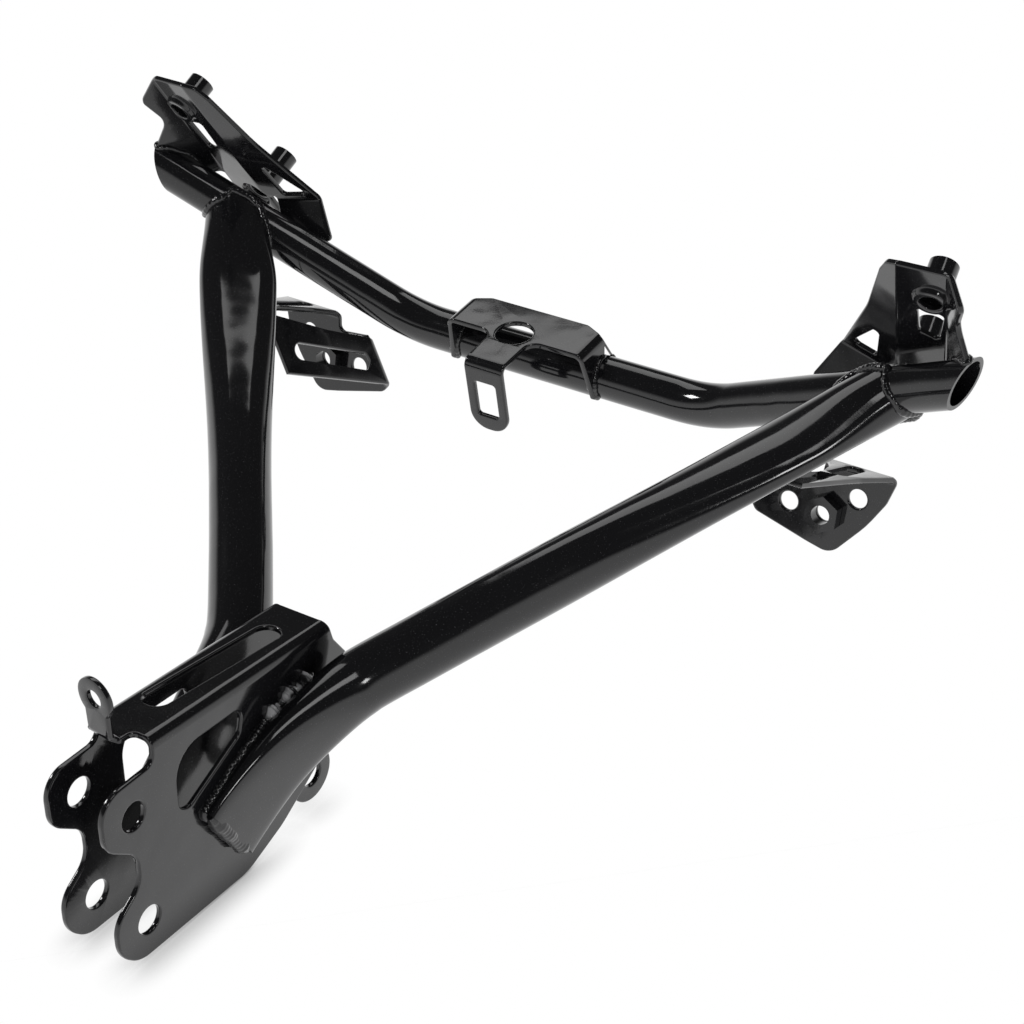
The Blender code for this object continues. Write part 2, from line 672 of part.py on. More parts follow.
mirror_holes = [
    rounded([
        (0.0078, -0.0246, 0.0015),
        (0.0180, -0.0256, 0.0020),
        (0.0165, -0.0440, 0.0020),
        (0.0086, -0.0400, 0.0015),
    ]),
    rounded([
        (-0.0080, -0.0490, 0.0015),
        (-0.0100, -0.0725, 0.0020),
        (-0.0225, -0.0735, 0.0020),
    ]),
]
mirror_dishes = [
    (UPPER_SEAT, MIRROR_HOLE, SEAT_RADIUS, SEAT_DISH),
    (LOWER_SEAT, MIRROR_HOLE, SEAT_RADIUS, -SEAT_DISH),
]


def make_mirror_bracket(side, suffix):
    """Add one mirror bracket and its two collars."""
    plate = blank(rounded(mirror_outline), mirror_holes, mirror_dishes)
    fold(plate, [
        ((-0.0030, -0.0750), (-1, -0.12), FOOT_FOLD, lambda at: at.x < -0.0015 and at.y < -0.070),
        ((0, 0), (0, 1), -GUSSET_FOLD, lambda at: at.x < 0.003),
        ((FLANGE_LINE, 0), (0, -1), FLANGE_FOLD, lambda at: at.x > 0.0150 and at.y > -0.0605),
    ])
    bracket = add_node("mirror_bracket_" + suffix, plate, PAINT, mirror_frame)
    cope = bar_way * 0.07
    cut(bracket, [rod("mirror_cope", bar_joint - cope, bar_end + bar_way * 0.01, BAR_RADIUS + SEAT_GAP)])
    if side < 0:
        bracket.data.transform(Matrix.Scale(-1, 4, Vector((1, 0, 0))))
        bracket.data.flip_normals()
    collars = (("upper", UPPER_SEAT, UPPER_COLLAR, SEAT_DISH), ("lower", LOWER_SEAT, LOWER_COLLAR, -SEAT_DISH))
    for level, seat, length, dish in collars:
        near = dish - SHEET / 2 - SEAT_GAP
        place = mirror_frame @ Matrix.Translation((*seat, near))
        points = [Vector((0, 0, 0)), Vector((0, 0, -length))]
        collar = tube_round(points, COLLAR_RADIUS, COLLAR_RADIUS - MIRROR_HOLE)
        add_node("mirror_collar_" + level + "_" + suffix, collar, PAINT, place, side)


make_mirror_bracket(1, "right")
make_mirror_bracket(-1, "left")


# Side brackets. The blank's X runs across and its Y up the three-hole plate.
side_up = Vector((0, math.sin(SIDE_LEAN), math.cos(SIDE_LEAN)))
side_frame = frame_matrix(
    leg_end + Vector(SIDE_PLACE),
    Vector((1, 0, 0)),
    side_up,
    Vector((1, 0, 0)).cross(side_up),
)
arm_start = Vector((-0.0470, -0.0268))
arm_way = Vector((0.5355, 0.8446)).normalized()
arm_out = Vector((-arm_way.y, arm_way.x))


def on_arm(along, distance, radius=0.0):
    """Return a blank point on the folded arm, from the arm's own sizes."""
    point = arm_start + arm_way * along + arm_out * developed(distance, ARM_FOLD)
    return (point.x, point.y, radius)


def on_neck(x, distance, radius=0.0):
    """Return a blank point on the neck, which folds at the top of the plate."""
    return (x, developed(distance, NECK_FOLD), radius)


side_outline = [
    (0.0168, -0.0020, 0.0040),
    on_neck(0.0104, 0.0250, 0.0300),
    on_neck(0.0045, 0.0720),
    on_neck(-0.0105, 0.0720),
    on_neck(-0.0032, 0.0340, 0.0200),
    on_neck(-0.0078, 0.0140, 0.0150),
    (-0.0152, -0.0010, 0.0030),
    (-0.0160, -0.0078, 0.0030),
    (-0.0310, -0.0064, 0.0010),
    on_arm(0.0230, 0.0000),
    on_arm(0.0338, 0.0270, 0.0500),
    on_arm(0.0500, 0.0600),
    on_arm(0.0205, 0.0600),
    on_arm(0.0000, 0.0000, 0.0500),
    (-0.0432, -0.0310, 0.0040),
    (-0.0180, -0.0375, 0.0100),
    (-0.0065, -0.0400, 0.0080),
    (0.0070, -0.0235, 0.0500),
    (0.0140, -0.0115, 0.0100),
]
nut_seat = (-0.0115, -0.0222)
side_holes = [
    circle(nut_seat, SIDE_HOLE),
    circle((0.0015, -0.0125), SIDE_HOLE),
    circle((-0.0286, -0.0223), SIDE_HOLE),
    slot(on_neck(0.0005, 0.0045)[:2], on_neck(0.0015, 0.0335)[:2], 0.0085),
    slot(on_arm(0.0130, 0.0080)[:2], on_arm(0.0295, 0.0510)[:2], 0.0080),
]


def make_side_bracket(side, suffix):
    """Add one side bracket and its weld nut."""
    plate = blank(rounded(side_outline), side_holes)
    fold(plate, [
        ((0, 0), (1, 0), NECK_FOLD, lambda at: at.x > -0.0158 and at.y > -0.0045),
        (arm_start, arm_way, ARM_FOLD, lambda at: at.x < -0.0300),
    ])
    bracket = add_node("side_bracket_" + suffix, plate, PAINT, side_frame)
    leg_up = leg_way.cross(Vector((-1, 0, 0))).normalized() * LEG_RADIUS * 0.9
    above = rod("side_trim", leg_heel + leg_way * 0.13 + leg_up, leg_end + leg_way * 0.03 + leg_up, LEG_RADIUS)
    cut(bracket, [add_node("side_cope", loft(leg_rings(-SEAT_GAP)), None), above])
    if side < 0:
        bracket.data.transform(Matrix.Scale(-1, 4, Vector((1, 0, 0))))
        bracket.data.flip_normals()
    foot = SHEET / 2 + SEAT_GAP
    rings = []
    for size, sides in ((SIDE_NUT_RADIUS, 6), (SIDE_HOLE, 24)):
        turns = [2 * math.pi * step / 24 for step in range(24)]
        shape = [size / math.cos((turn + math.pi / 6) % (math.pi / 3) - math.pi / 6) if sides == 6 else size for turn in turns]
        flat = [Vector((reach * math.cos(turn), reach * math.sin(turn), 0)) for reach, turn in zip(shape, turns)]
        levels = (0, SIDE_NUT_HEIGHT) if sides == 6 else (SIDE_NUT_HEIGHT, 0)
        rings += [[point + Vector((0, 0, level)) for point in flat] for level in levels]
    place = side_frame @ Matrix.Translation((*nut_seat, foot))
    add_node("side_nut_" + suffix, loft(rings, closed=True), PAINT, place, side)


make_side_bracket(1, "right")
make_side_bracket(-1, "left")

for node in bpy.data.objects:
    shade(node)
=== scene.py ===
# Looks of a motorcycle's fairing stay: gloss black paint over welded tube and folded sheet.
# Sizes are in metres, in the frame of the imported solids: X across, +Y forward, +Z up.
import math

import bmesh
import bpy
from mathutils import Matrix, Vector, noise
from mathutils.bvhtree import BVHTree


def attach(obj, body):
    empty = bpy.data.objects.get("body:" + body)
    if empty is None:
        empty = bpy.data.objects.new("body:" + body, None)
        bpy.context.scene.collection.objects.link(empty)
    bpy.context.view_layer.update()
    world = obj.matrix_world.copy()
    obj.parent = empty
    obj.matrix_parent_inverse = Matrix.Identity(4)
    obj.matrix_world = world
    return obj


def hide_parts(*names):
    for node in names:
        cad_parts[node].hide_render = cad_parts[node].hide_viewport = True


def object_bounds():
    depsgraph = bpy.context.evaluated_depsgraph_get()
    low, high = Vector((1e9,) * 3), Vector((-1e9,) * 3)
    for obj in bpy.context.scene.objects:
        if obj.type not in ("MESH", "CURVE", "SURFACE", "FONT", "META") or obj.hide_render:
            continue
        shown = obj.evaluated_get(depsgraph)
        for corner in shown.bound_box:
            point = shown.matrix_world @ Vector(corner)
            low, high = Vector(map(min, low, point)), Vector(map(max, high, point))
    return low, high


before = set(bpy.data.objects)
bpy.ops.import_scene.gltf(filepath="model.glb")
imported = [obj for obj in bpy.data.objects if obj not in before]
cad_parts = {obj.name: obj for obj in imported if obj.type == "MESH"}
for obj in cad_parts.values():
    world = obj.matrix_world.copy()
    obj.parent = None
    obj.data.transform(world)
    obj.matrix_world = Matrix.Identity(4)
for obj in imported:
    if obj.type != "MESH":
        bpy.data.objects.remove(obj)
cad_box = [list(corner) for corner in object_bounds()]


# Head pressing: the folded steel bracket that bolts to the motorcycle's frame, a U with a slotted
# web, a small upright eye and two scalloped cheeks. It is cut and pressed from one 2.5 mm sheet,
# and carries the lugs and both main tubes, which are welded to its cheeks.
SHEET = 0.0025
SEAT_GAP = 0.0003
FOLD_RADIUS = 0.0033
ARC_STEP = math.radians(5)
FOLD_STEP = math.radians(5)
HOLE_SIDES = 64
EDGE_RADIUS = 0.0008
EDGE_STEPS = 3
DISH_STEPS = 8
DISH_FLAT_SHARE = 0.55
SHARPEST_SMOOTHED = math.radians(32)
ACROSS = Vector((1, 0, 0))
HEAD_WIDTH = 0.0276
WEB_TILT = math.radians(4.5)
WEB_TOP = 0.0262
WEB_REAR = 0.1122
WEB_FRONT = 0.006
BOLT_HOLE = 0.0057
UPPER_BOLT = (0.0, 0.0)
LOWER_BOLT = (0.0020, -0.0485)
LOBE_RADIUS = 0.0150
WEB_SLOT_WIDTH = 0.0108
WEB_SLOT_FRONT = 0.0290
WEB_SLOT_REAR = 0.0975
EAR_RADIUS = 0.0083
EAR_HOLE = 0.0035
EAR_RISE = 0.0165
EAR_NECK = 0.0115
EAR_OFFSET = -0.0028
EAR_ANGLE = math.radians(84)
EAR_SKEW = math.radians(7.4)
RELIEF_DEPTH = 0.0068
CHEEK_FLOOR = -0.0654
CHEEK_REAR = 0.1145
CHEEK_WING = 0.0085
WEB_SLOT_SKEW = -0.0032
IN_EAR_HALF = 0.0105
TONGUE_EASE = 0.0018


def linear(code):
    """Return the linear colour of a hexadecimal sRGB code."""
    values = [int(code[index:index + 2], 16) / 255 for index in (0, 2, 4)]
    steep = [((value + 0.055) / 1.055) ** 2.4 for value in values]
    return (*[value / 12.92 if value <= 0.04045 else curve for value, curve in zip(values, steep)], 1.0)


def add_step(tree, kind, settings=(), links=()):
    """Add a shader node with its settings and incoming links, and return it."""
    step = tree.nodes.new(kind)
    for name, value in dict(settings).items():
        if name in step.inputs:
            step.inputs[name].default_value = value
        else:
            setattr(step, name, value)
    for name, source in dict(links).items():
        tree.links.new(source, step.inputs[name])
    return step


# Enamel: gloss black paint sprayed on steel and baked. It gives sharp reflections that waver
# slightly with the orange peel, a soft cloudiness in the gloss, and a few pale specks of dust.
# Pattern scales are per metre: 38 is a patch of 26 mm, 55 a wave of 18 mm, 900 a grain of 1.1 mm.
CLOUD_SCALE = 38.0
WAVE_SCALE = 55.0
PEEL_SCALE = 900.0
WAVE_HEIGHT = 0.0030
PEEL_HEIGHT = 0.00012
BLACK, DUST = "151517", "4a4a4c"
DUST_SPECK = (2600.0, 0.76, 0.82)  # 0.4 mm specks, shown over this range of the noise


def make_paint(name, peel, gloss, tones=(BLACK, DUST), speck=DUST_SPECK):
    """Return an enamel with this strength of surface relief, roughness range, tones and specks."""
    material = bpy.data.materials.new(name)
    material.use_nodes = True
    tree = material.node_tree
    shader = tree.nodes["Principled BSDF"]
    place = add_step(tree, "ShaderNodeTexCoord").outputs["Object"]
    size, first, last = speck
    cloud, fine, wave, specks = (
        add_step(tree, "ShaderNodeTexNoise", {"Scale": scale, "Detail": detail}, {"Vector": place})
        for scale, detail in ((CLOUD_SCALE, 3.0), (PEEL_SCALE, 2.0), (WAVE_SCALE, 1.0), (size, 0.0))
    )
    dust_and_highlight_mask = add_step(
        tree,
        "ShaderNodeMapRange",
        {"From Min": first, "From Max": last},
        {"Value": specks.outputs["Fac"]},
    )
    # The second tone, in specks, is pale dust on the sheet, tube and weld enamels, and painted highlight
    # on the heel's lumps.
    shade_of = add_step(tree, "ShaderNodeMix", {"data_type": "RGBA"}, {"Factor": dust_and_highlight_mask.outputs["Result"]})
    shade_of.inputs[6].default_value = linear(tones[0])
    shade_of.inputs[7].default_value = linear(tones[1])
    tree.links.new(shade_of.outputs[2], shader.inputs["Base Color"])
    low, high = gloss
    rough = add_step(
        tree,
        "ShaderNodeMapRange",
        {"From Min": 0.3, "From Max": 0.7, "To Min": low, "To Max": high},
        {"Value": cloud.outputs["Fac"]},
    )
    tree.links.new(rough.outputs["Result"], shader.inputs["Roughness"])
    broad = add_step(
        tree,
        "ShaderNodeBump",
        {"Strength": 2 * peel, "Distance": WAVE_HEIGHT},
        {"Height": wave.outputs["Fac"]},
    )
    skin = add_step(
        tree,
        "ShaderNodeBump",
        {"Strength": peel, "Distance": PEEL_HEIGHT},
        {"Height": fine.outputs["Fac"], "Normal": broad.outputs["Normal"]},
    )
    tree.links.new(skin.outputs["Normal"], shader.inputs["Normal"])
    shader.inputs["Coat Weight"].default_value = 0.25
    shader.inputs["Coat Roughness"].default_value = 0.06
    shader.inputs["IOR"].default_value = 1.5
    return material


sheet_paint = make_paint("sheet_enamel", 0.06, (0.06, 0.15))


def add_node(name, bm, finish, matrix=None, side=1):
    """Turn a mesh under construction into a named object, mirrored for the left side."""
    if matrix is not None:
        bmesh.ops.transform(bm, matrix=matrix, verts=bm.verts)
    if side < 0:
        bmesh.ops.scale(bm, vec=(-1, 1, 1), verts=bm.verts)
    bmesh.ops.recalc_face_normals(bm, faces=bm.faces)
    mesh = bpy.data.meshes.new(name)
    bm.to_mesh(mesh)
    bm.free()
    node = bpy.data.objects.new(name, mesh)
    bpy.context.collection.objects.link(node)
    if finish is None:
        node.hide_render = True
    else:
        mesh.materials.append(finish)
    return node


def shade(node, limit=SHARPEST_SMOOTHED):
    """Smooth the rounds of a node and keep its true corners sharp."""
    bm = bmesh.new()
    bm.from_mesh(node.data)
    for face in bm.faces:
        face.smooth = True
    for edge in bm.edges:
        edge.smooth = len(edge.link_faces) == 2 and edge.calc_face_angle(0.0) < limit
    bm.to_mesh(node.data)
    bm.free()


def dress(node, cad_node=None):
    """Smooth a piece, let it ride on the root body and let it stand for its solid."""
    shade(node)
    evened = node.modifiers.new("even_shading", "WEIGHTED_NORMAL")
    evened.keep_sharp = True
    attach(node, "root")
    if cad_node:
        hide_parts(cad_node)
    return node


def rounded(corners):
    """Return a closed outline whose corners (x, y, radius) are turned into arcs."""
    points = []
    for index, (x, y, radius) in enumerate(corners):
        here = Vector((x, y))
        before = Vector(corners[index - 1][:2]) - here
        after = Vector(corners[(index + 1) % len(corners)][:2]) - here
        if radius == 0:
            points.append(here)
            continue
        turn = math.pi - before.angle(after)
        setback = min(radius * math.tan(turn / 2), 0.49 * before.length, 0.49 * after.length)
        true_radius = setback / math.tan(turn / 2)
        middle_way = (before.normalized() + after.normalized()).normalized()
        centre = here + middle_way * math.hypot(setback, true_radius)
        start = here + before.normalized() * setback - centre
        sweep = math.copysign(turn, before.x * after.y - before.y * after.x) * -1
        steps = max(2, math.ceil(turn / ARC_STEP))
        for step in range(steps + 1):
            points.append(centre + Matrix.Rotation(sweep * step / steps, 2) @ start)
    return points


def circle(centre, radius, sides=HOLE_SIDES):
    """Return a closed ring of points in the blank's plane."""
    turns = (2 * math.pi * step / sides for step in range(sides))
    x, y = centre[:2]
    return [Vector((x + radius * math.cos(turn), y + radius * math.sin(turn))) for turn in turns]


def slot(start, end, width):
    """Return the outline of a round-ended slot between two end points."""
    start, end = Vector(start), Vector(end)
    along = (end - start).normalized()
    across = Vector((-along.y, along.x)) * width / 2
    centres = (start + along * width / 2, end - along * width / 2)
    points = []
    for centre, first in ((centres[0], across), (centres[1], -across)):
        steps = HOLE_SIDES // 2
        points += [
            centre + Matrix.Rotation(math.pi * step / steps, 2) @ first
            for step in range(steps + 1)
        ]
    return points


def ring_of_edges(bm, points):
    """Add a closed loop of vertices and edges to a mesh and return both."""
    verts = [bm.verts.new((point[0], point[1], 0.0)) for point in points]
    edges = [bm.edges.new((verts[index - 1], verts[index])) for index in range(len(verts))]
    return verts, edges


def inset(points, distance):
    """Return a closed outline moved inwards by a distance, or outwards for a negative one."""
    area = sum(points[index - 1].cross(points[index]) for index in range(len(points)))
    turn = math.copysign(1, area)
    moved = []
    for index, point in enumerate(points):
        before = (point - points[index - 1]).normalized()
        after = (points[(index + 1) % len(points)] - point).normalized()
        left = Vector((-before.y - after.y, before.x + after.x)).normalized() * turn
        share = max(left.dot(Vector((-before.y, before.x)) * turn), 0.5)
        moved.append(point + left * distance / share)
    return moved


def tidy_ring(points):
    """Return a closed outline without doubled points."""
    kept = [Vector(point[:2]) for point in points]
    return [point for index, point in enumerate(kept) if (point - kept[index - 1]).length > 1e-6]


def join_rings(bm, low, high):
    """Add a band of faces between two closed rings of vertices."""
    for index in range(len(low)):
        bm.faces.new((low[index - 1], low[index], high[index], high[index - 1]))


def smooth_step(value):
    """Return an S curve from 0 to 1."""
    value = min(max(value, 0.0), 1.0)
    return value ** 3 * (10 - 15 * value + 6 * value * value)


def blank(outline, holes=(), dishes=()):
    """Return a flat blank with rounded rims. A dish is (centre, hole radius, outer radius, height)."""
    bm = bmesh.new()
    edges, rims = [], []
    for points, inward in ((outline, 1), *[(hole, -1) for hole in holes]):
        points = tidy_ring(points)
        verts, ring = ring_of_edges(bm, inset(points, inward * EDGE_RADIUS))
        edges += ring
        rims.append((verts, points, inward))
    seats = []
    for centre, bore, radius, height in dishes:
        verts, ring = ring_of_edges(bm, circle(centre, radius))
        edges += ring
        seats.append((verts, centre, bore, radius, height))
    bmesh.ops.triangle_fill(bm, use_beauty=True, use_dissolve=False, edges=edges)
    for verts, centre, bore, radius, height in seats:
        flat = bore + DISH_FLAT_SHARE * (radius - bore)
        for step in range(1, DISH_STEPS + 3):
            share = min(step / DISH_STEPS, 1.0)
            size = radius + (flat - radius) * share
            lift = height * smooth_step(share)
            if step > DISH_STEPS:
                size = flat + (bore + EDGE_RADIUS - flat) * (step - DISH_STEPS) / 2
            inner = ring_of_edges(bm, circle(centre, size))[0]
            for vert in inner:
                vert.co.z = lift
            for index in range(len(verts)):
                bm.faces.new((verts[index - 1], verts[index], inner[index], inner[index - 1]))
            verts = inner
        rims.append((verts, circle(centre, bore), -1))
    copies = bmesh.ops.duplicate(bm, geom=[*bm.verts, *bm.edges, *bm.faces])["vert_map"]
    tops = [vert for verts, points, inward in rims for vert in verts]
    lower = {top: copies[top] for top in tops}
    half = SHEET / 2
    upper_side = {vert for face in bm.faces[:len(bm.faces) // 2] for vert in face.verts}
    for vert in bm.verts:
        vert.co.z += half if vert in upper_side else -half
    turns = [math.pi / 2 * step / EDGE_STEPS for step in range(1, EDGE_STEPS + 1)]
    profile = [
        (EDGE_RADIUS * (1 - math.sin(turn)), half - EDGE_RADIUS * (1 - math.cos(turn)))
        for turn in turns
    ]
    profile += [(depth, -level) for depth, level in reversed(profile)]
    for verts, points, inward in rims:
        middle = verts[0].co.z - half
        last = verts
        for depth, level in profile[:-1]:
            ring = [bm.verts.new((*at, middle + level)) for at in inset(points, inward * depth)]
            join_rings(bm, last, ring)
            last = ring
        join_rings(bm, last, [lower[vert] for vert in verts])
    return bm


def setback(angle):
    """Return how far a bend starts before the corner of its two faces."""
    return FOLD_RADIUS * math.tan(abs(angle) / 2)


def developed(distance, angle):
    """Return the flat length of a flap that ends this far beyond its folded corner."""
    return distance - 2 * setback(angle) + FOLD_RADIUS * abs(angle)


def fold(bm, bends):
    """Fold a flat blank. Each bend is (corner, direction, angle, member): the flap that lies left
    of the line and passes the member test turns towards +Z for a positive angle. Outer bends
    come first."""
    lines = []
    for corner, direction, angle, member in bends:
        left = Vector((-direction[1], direction[0], 0)).normalized()
        origin = Vector((*corner, 0)) - left * setback(angle)
        reach = FOLD_RADIUS * abs(angle)
        lines.append((origin, left, angle, reach, member))
        steps = max(3, math.ceil(abs(angle) / FOLD_STEP))
        for step in range(steps + 1):
            faces = [face for face in bm.faces if any(member(vert.co) for vert in face.verts)]
            edges = {edge for face in faces for edge in face.edges}
            verts = {vert for face in faces for vert in face.verts}
            point = origin + left * reach * step / steps
            bmesh.ops.bisect_plane(
                bm,
                geom=[*verts, *edges, *faces],
                dist=1e-7,
                plane_co=point,
                plane_no=left,
            )
    flat = {vert: vert.co.copy() for vert in bm.verts}
    for origin, left, angle, reach, member in lines:
        axis = left.cross(Vector((0, 0, 1)))
        centre = Vector((0, 0, math.copysign(FOLD_RADIUS, angle)))
        for vert, at in flat.items():
            distance = (at - origin).dot(left)
            if distance <= 1e-6 or not member(at):
                continue
            turn = angle * min(distance / reach, 1.0)
            arm = vert.co - origin - left * min(distance, reach) - centre
            vert.co = origin + centre + Matrix.Rotation(turn, 3, axis) @ arm
    return bm


def frame_matrix(origin, first, second, third):
    """Return the placing matrix of a local frame."""
    matrix = Matrix((first, second, third)).transposed().to_4x4()
    matrix.translation = origin
    return matrix


# The blank lies flat, with X across the web, Y along the folds, and a cheek on each side whose
# side view is unrolled onto it.
web_level = WEB_TOP - SHEET / 2
cheek_middle = (HEAD_WIDTH - SHEET) / 2


def on_blank(y, z, radius=0.0):
    """Unroll a point of the right cheek's side view onto the flat blank."""
    along = y * math.cos(WEB_TILT) - (z - web_level) * math.sin(WEB_TILT)
    depth = -y * math.sin(WEB_TILT) - (z - web_level) * math.cos(WEB_TILT)
    return (cheek_middle + developed(depth, math.pi / 2), along, radius)


upper_front, upper_level = UPPER_BOLT[0] - LOBE_RADIUS, UPPER_BOLT[1]
lower_front, lower_level = LOWER_BOLT[0] - LOBE_RADIUS, LOWER_BOLT[1]
waist = UPPER_BOLT[0]
cheek = [
    on_blank(0.0122, upper_level + LOBE_RADIUS, 0.0050),
    on_blank(upper_front - 0.0004, upper_level + LOBE_RADIUS, 0.0150),
    on_blank(upper_front - 0.0003, upper_level - 0.0060, 0.0110),
    on_blank(waist - 0.0002, upper_level - 0.0170, 0.0100),
    on_blank(waist - 0.0002, lower_level + 0.0180, 0.0100),
    on_blank(lower_front - 0.0014, lower_level + 0.0085, 0.0110),
    on_blank(lower_front - 0.0014, lower_level - 0.0060, 0.0140),
    on_blank(lower_front + 0.0080, lower_level - 0.0150, 0.0140),
    on_blank(0.0560, CHEEK_FLOOR, 0.0200),
    on_blank(0.0780, CHEEK_FLOOR + 0.0082, 0.0300),
    on_blank(CHEEK_REAR, CHEEK_FLOOR + 0.0304, 0.0030),
    on_blank(CHEEK_REAR + CHEEK_WING, -0.0030, 0.0030),
    on_blank(CHEEK_REAR + 0.0005, 0.0080, 0.0060),
]
notch_top = WEB_FRONT + RELIEF_DEPTH
tongue = EAR_NECK / 2 + TONGUE_EASE
outline = [
    (EAR_OFFSET + tongue, WEB_FRONT, 0.0012),
    (EAR_OFFSET + tongue, notch_top, 0.0025),
    (cheek_middle - 0.0005, notch_top, 0.0040),
    *cheek,
    (cheek_middle - FOLD_RADIUS, WEB_REAR, 0.0),
    (-cheek_middle + FOLD_RADIUS, WEB_REAR, 0.0),
    *[(-x, y, radius) for x, y, radius in reversed(cheek)],
    (EAR_OFFSET - tongue, notch_top, 0.0010),
    (EAR_OFFSET - tongue, WEB_FRONT, 0.0012),
]
ear_way = Vector((-math.cos(EAR_SKEW), math.sin(EAR_SKEW)))
ear_out = Vector((-ear_way.y, ear_way.x))
ear_root = Vector((EAR_OFFSET, WEB_FRONT)) + ear_out * 0.0005
ear_centre = ear_root + ear_out * developed(EAR_RISE, EAR_ANGLE)
shoulder = math.acos(EAR_NECK / 2 / EAR_RADIUS)
ear_steps = 2 * HOLE_SIDES // 3
ear = [ear_root + ear_way * EAR_NECK / 2]
for step in range(ear_steps + 1):
    turn = -shoulder + (math.pi + 2 * shoulder) * step / ear_steps
    ear.append(ear_centre + (ear_way * math.cos(turn) + ear_out * math.sin(turn)) * EAR_RADIUS)
ear.append(ear_root - ear_way * EAR_NECK / 2)
window = [
    on_blank(0.0228, -0.0172, 0.0050),
    on_blank(0.0228, 0.0122, 0.0120),
    on_blank(0.0602, 0.0100, 0.0060),
    on_blank(0.0576, -0.0010, 0.0050),
]
bolts = [circle(on_blank(*bolt), BOLT_HOLE) for bolt in (UPPER_BOLT, LOWER_BOLT)]
cheek_holes = [rounded(window), *bolts]
head_holes = [
    *cheek_holes,
    *[[Vector((-point.x, point.y)) for point in hole] for hole in cheek_holes],
    slot((WEB_SLOT_SKEW, WEB_SLOT_FRONT), (0.0004, WEB_SLOT_REAR), WEB_SLOT_WIDTH),
    circle(ear_centre, EAR_HOLE),
]


def in_ear(at):
    """Tell whether a blank point belongs to the tongue and the ear in front of the web."""
    return at.y < notch_top - 0.0010 and abs(at.x - EAR_OFFSET) < IN_EAR_HALF


head = blank(rounded(outline) + ear, head_holes)
fold(head, [
    (ear_root, ear_way, EAR_ANGLE, in_ear),
    ((cheek_middle, 0), (0, -1), -math.pi / 2, lambda at: at.x > 0 and not in_ear(at)),
    ((-cheek_middle, 0), (0, 1), -math.pi / 2, lambda at: at.x < 0 and not in_ear(at)),
])
web_frame = frame_matrix(
    Vector((0, 0, web_level)),
    ACROSS,
    Vector((0, math.cos(WEB_TILT), -math.sin(WEB_TILT))),
    Vector((0, math.sin(WEB_TILT), math.cos(WEB_TILT))),
)
dress(add_node("head_pressing", head, sheet_paint, web_frame), "head_bracket")


# Lugs: round steel eyes of the same sheet, one inside each cheek at its rear, half below its lower
# edge. They are punched rings, welded flat against the cheek and painted with it.
TUBE_SIDES = 96
LUG_RADIUS = 0.0118
LUG_HOLE = 0.0052
LUG_CENTRE = (0.1005, -0.0490)

for side, name in ((1, "cheek_lug_right"), (-1, "cheek_lug_left")):
    lug = blank(circle((0, 0), LUG_RADIUS, TUBE_SIDES), [circle((0, 0), LUG_HOLE)])
    place = frame_matrix(
        Vector((HEAD_WIDTH / 2 - 1.5 * SHEET - SEAT_GAP, *LUG_CENTRE)),
        Vector((0, 1, 0)),
        Vector((0, 0, 1)),
        ACROSS,
    )
    dress(add_node(name.replace("cheek_lug", "eye"), lug, sheet_paint, place, side), name)


# Main tubes: two round steel tubes that lead from the head pressing up to the cross tube. Each is
# one drawn tube, pressed flat at its foot, which is welded onto the cheek, and pressed oval at its
# front end, which is notched to sit under the cross tube and welded there.
LEG_RADIUS = 0.0129
LEG_WALL = 0.0020
LEG_FLAT_HALF = 0.0029
LEG_OVAL_WIDE = 0.0172
LEG_SPREAD = math.radians(34.96)
LEG_RISE = math.radians(27.25)
LEG_HEEL_OUT = 0.0032
LEG_HEEL = (0.0957, -0.0108)
LEG_BEND_EASE = 0.004
FOOT_RINGS = 48
FRONT_RINGS = 56
SHEARED_RINGS = 20
LEG_TOE = 0.058
LEG_FULL_ROUND = 0.014
LEG_FOOT_LIFT = 0.0045
LEG_LENGTH = 0.2546
LEG_OVAL_START = 0.065
LEG_OVAL_FULL = 0.190
OVAL_SHARE = 1.2
LEG_NECK_LENGTH = 0.042
LEG_NECK_SHARE = 0.30
FOOT_END = 0.034
BEND_END = 0.040
SHAFT_RING = 0.050
LIFT_PLACE = 0.022
LIFT_LENGTH = 0.030
OPENING_POWER = 1.5
FLATNESS = 3
BAR_RADIUS = 0.0095
BAR_SIT = (-0.0028, 0.0007)
BAR_SWEEP = math.radians(-12.56)
BAR_RISE = math.radians(25.26)
NOTCH_REACH = 0.05

leg_way = Vector((
    math.sin(LEG_SPREAD),
    math.cos(LEG_SPREAD) * math.cos(LEG_RISE),
    math.cos(LEG_SPREAD) * math.sin(LEG_RISE),
))
leg_heel = Vector((HEAD_WIDTH / 2 + LEG_HEEL_OUT, *LEG_HEEL))
leg_end = leg_heel + leg_way * LEG_LENGTH
bar_way = Vector((
    math.cos(BAR_RISE) * math.cos(BAR_SWEEP),
    math.cos(BAR_RISE) * math.sin(BAR_SWEEP),
    math.sin(BAR_RISE),
))
bar_joint = leg_end + Vector((0, *BAR_SIT))
tube_paint = make_paint("tube_enamel", 0.05, (0.05, 0.13))


def loft(sections, closed=False):
    """Return a skin through rings of points, each a list of vectors of one length."""
    bm = bmesh.new()
    rings = [[bm.verts.new(point) for point in section] for section in sections]
    count = len(rings[0])
    last = len(rings) if closed else len(rings) - 1
    for index in range(last):
        low, high = rings[index], rings[(index + 1) % len(rings)]
        for turn in range(count):
            bm.faces.new((low[turn - 1], low[turn], high[turn], high[turn - 1]))
    if not closed:
        bm.faces.new(rings[0])
        bm.faces.new(rings[-1])
    return bm


def rod(name, start, end, radius):
    """Return a hidden round cutter between two points."""
    axis = (end - start).normalized()
    across = axis.orthogonal().normalized()
    up = axis.cross(across)
    turns = [2 * math.pi * step / (2 * TUBE_SIDES) for step in range(2 * TUBE_SIDES)]
    around = [(across * math.cos(turn) + up * math.sin(turn)) * radius for turn in turns]
    ends = [[point + out for out in around] for point in (start, end)]
    return add_node(name, loft(ends), None)


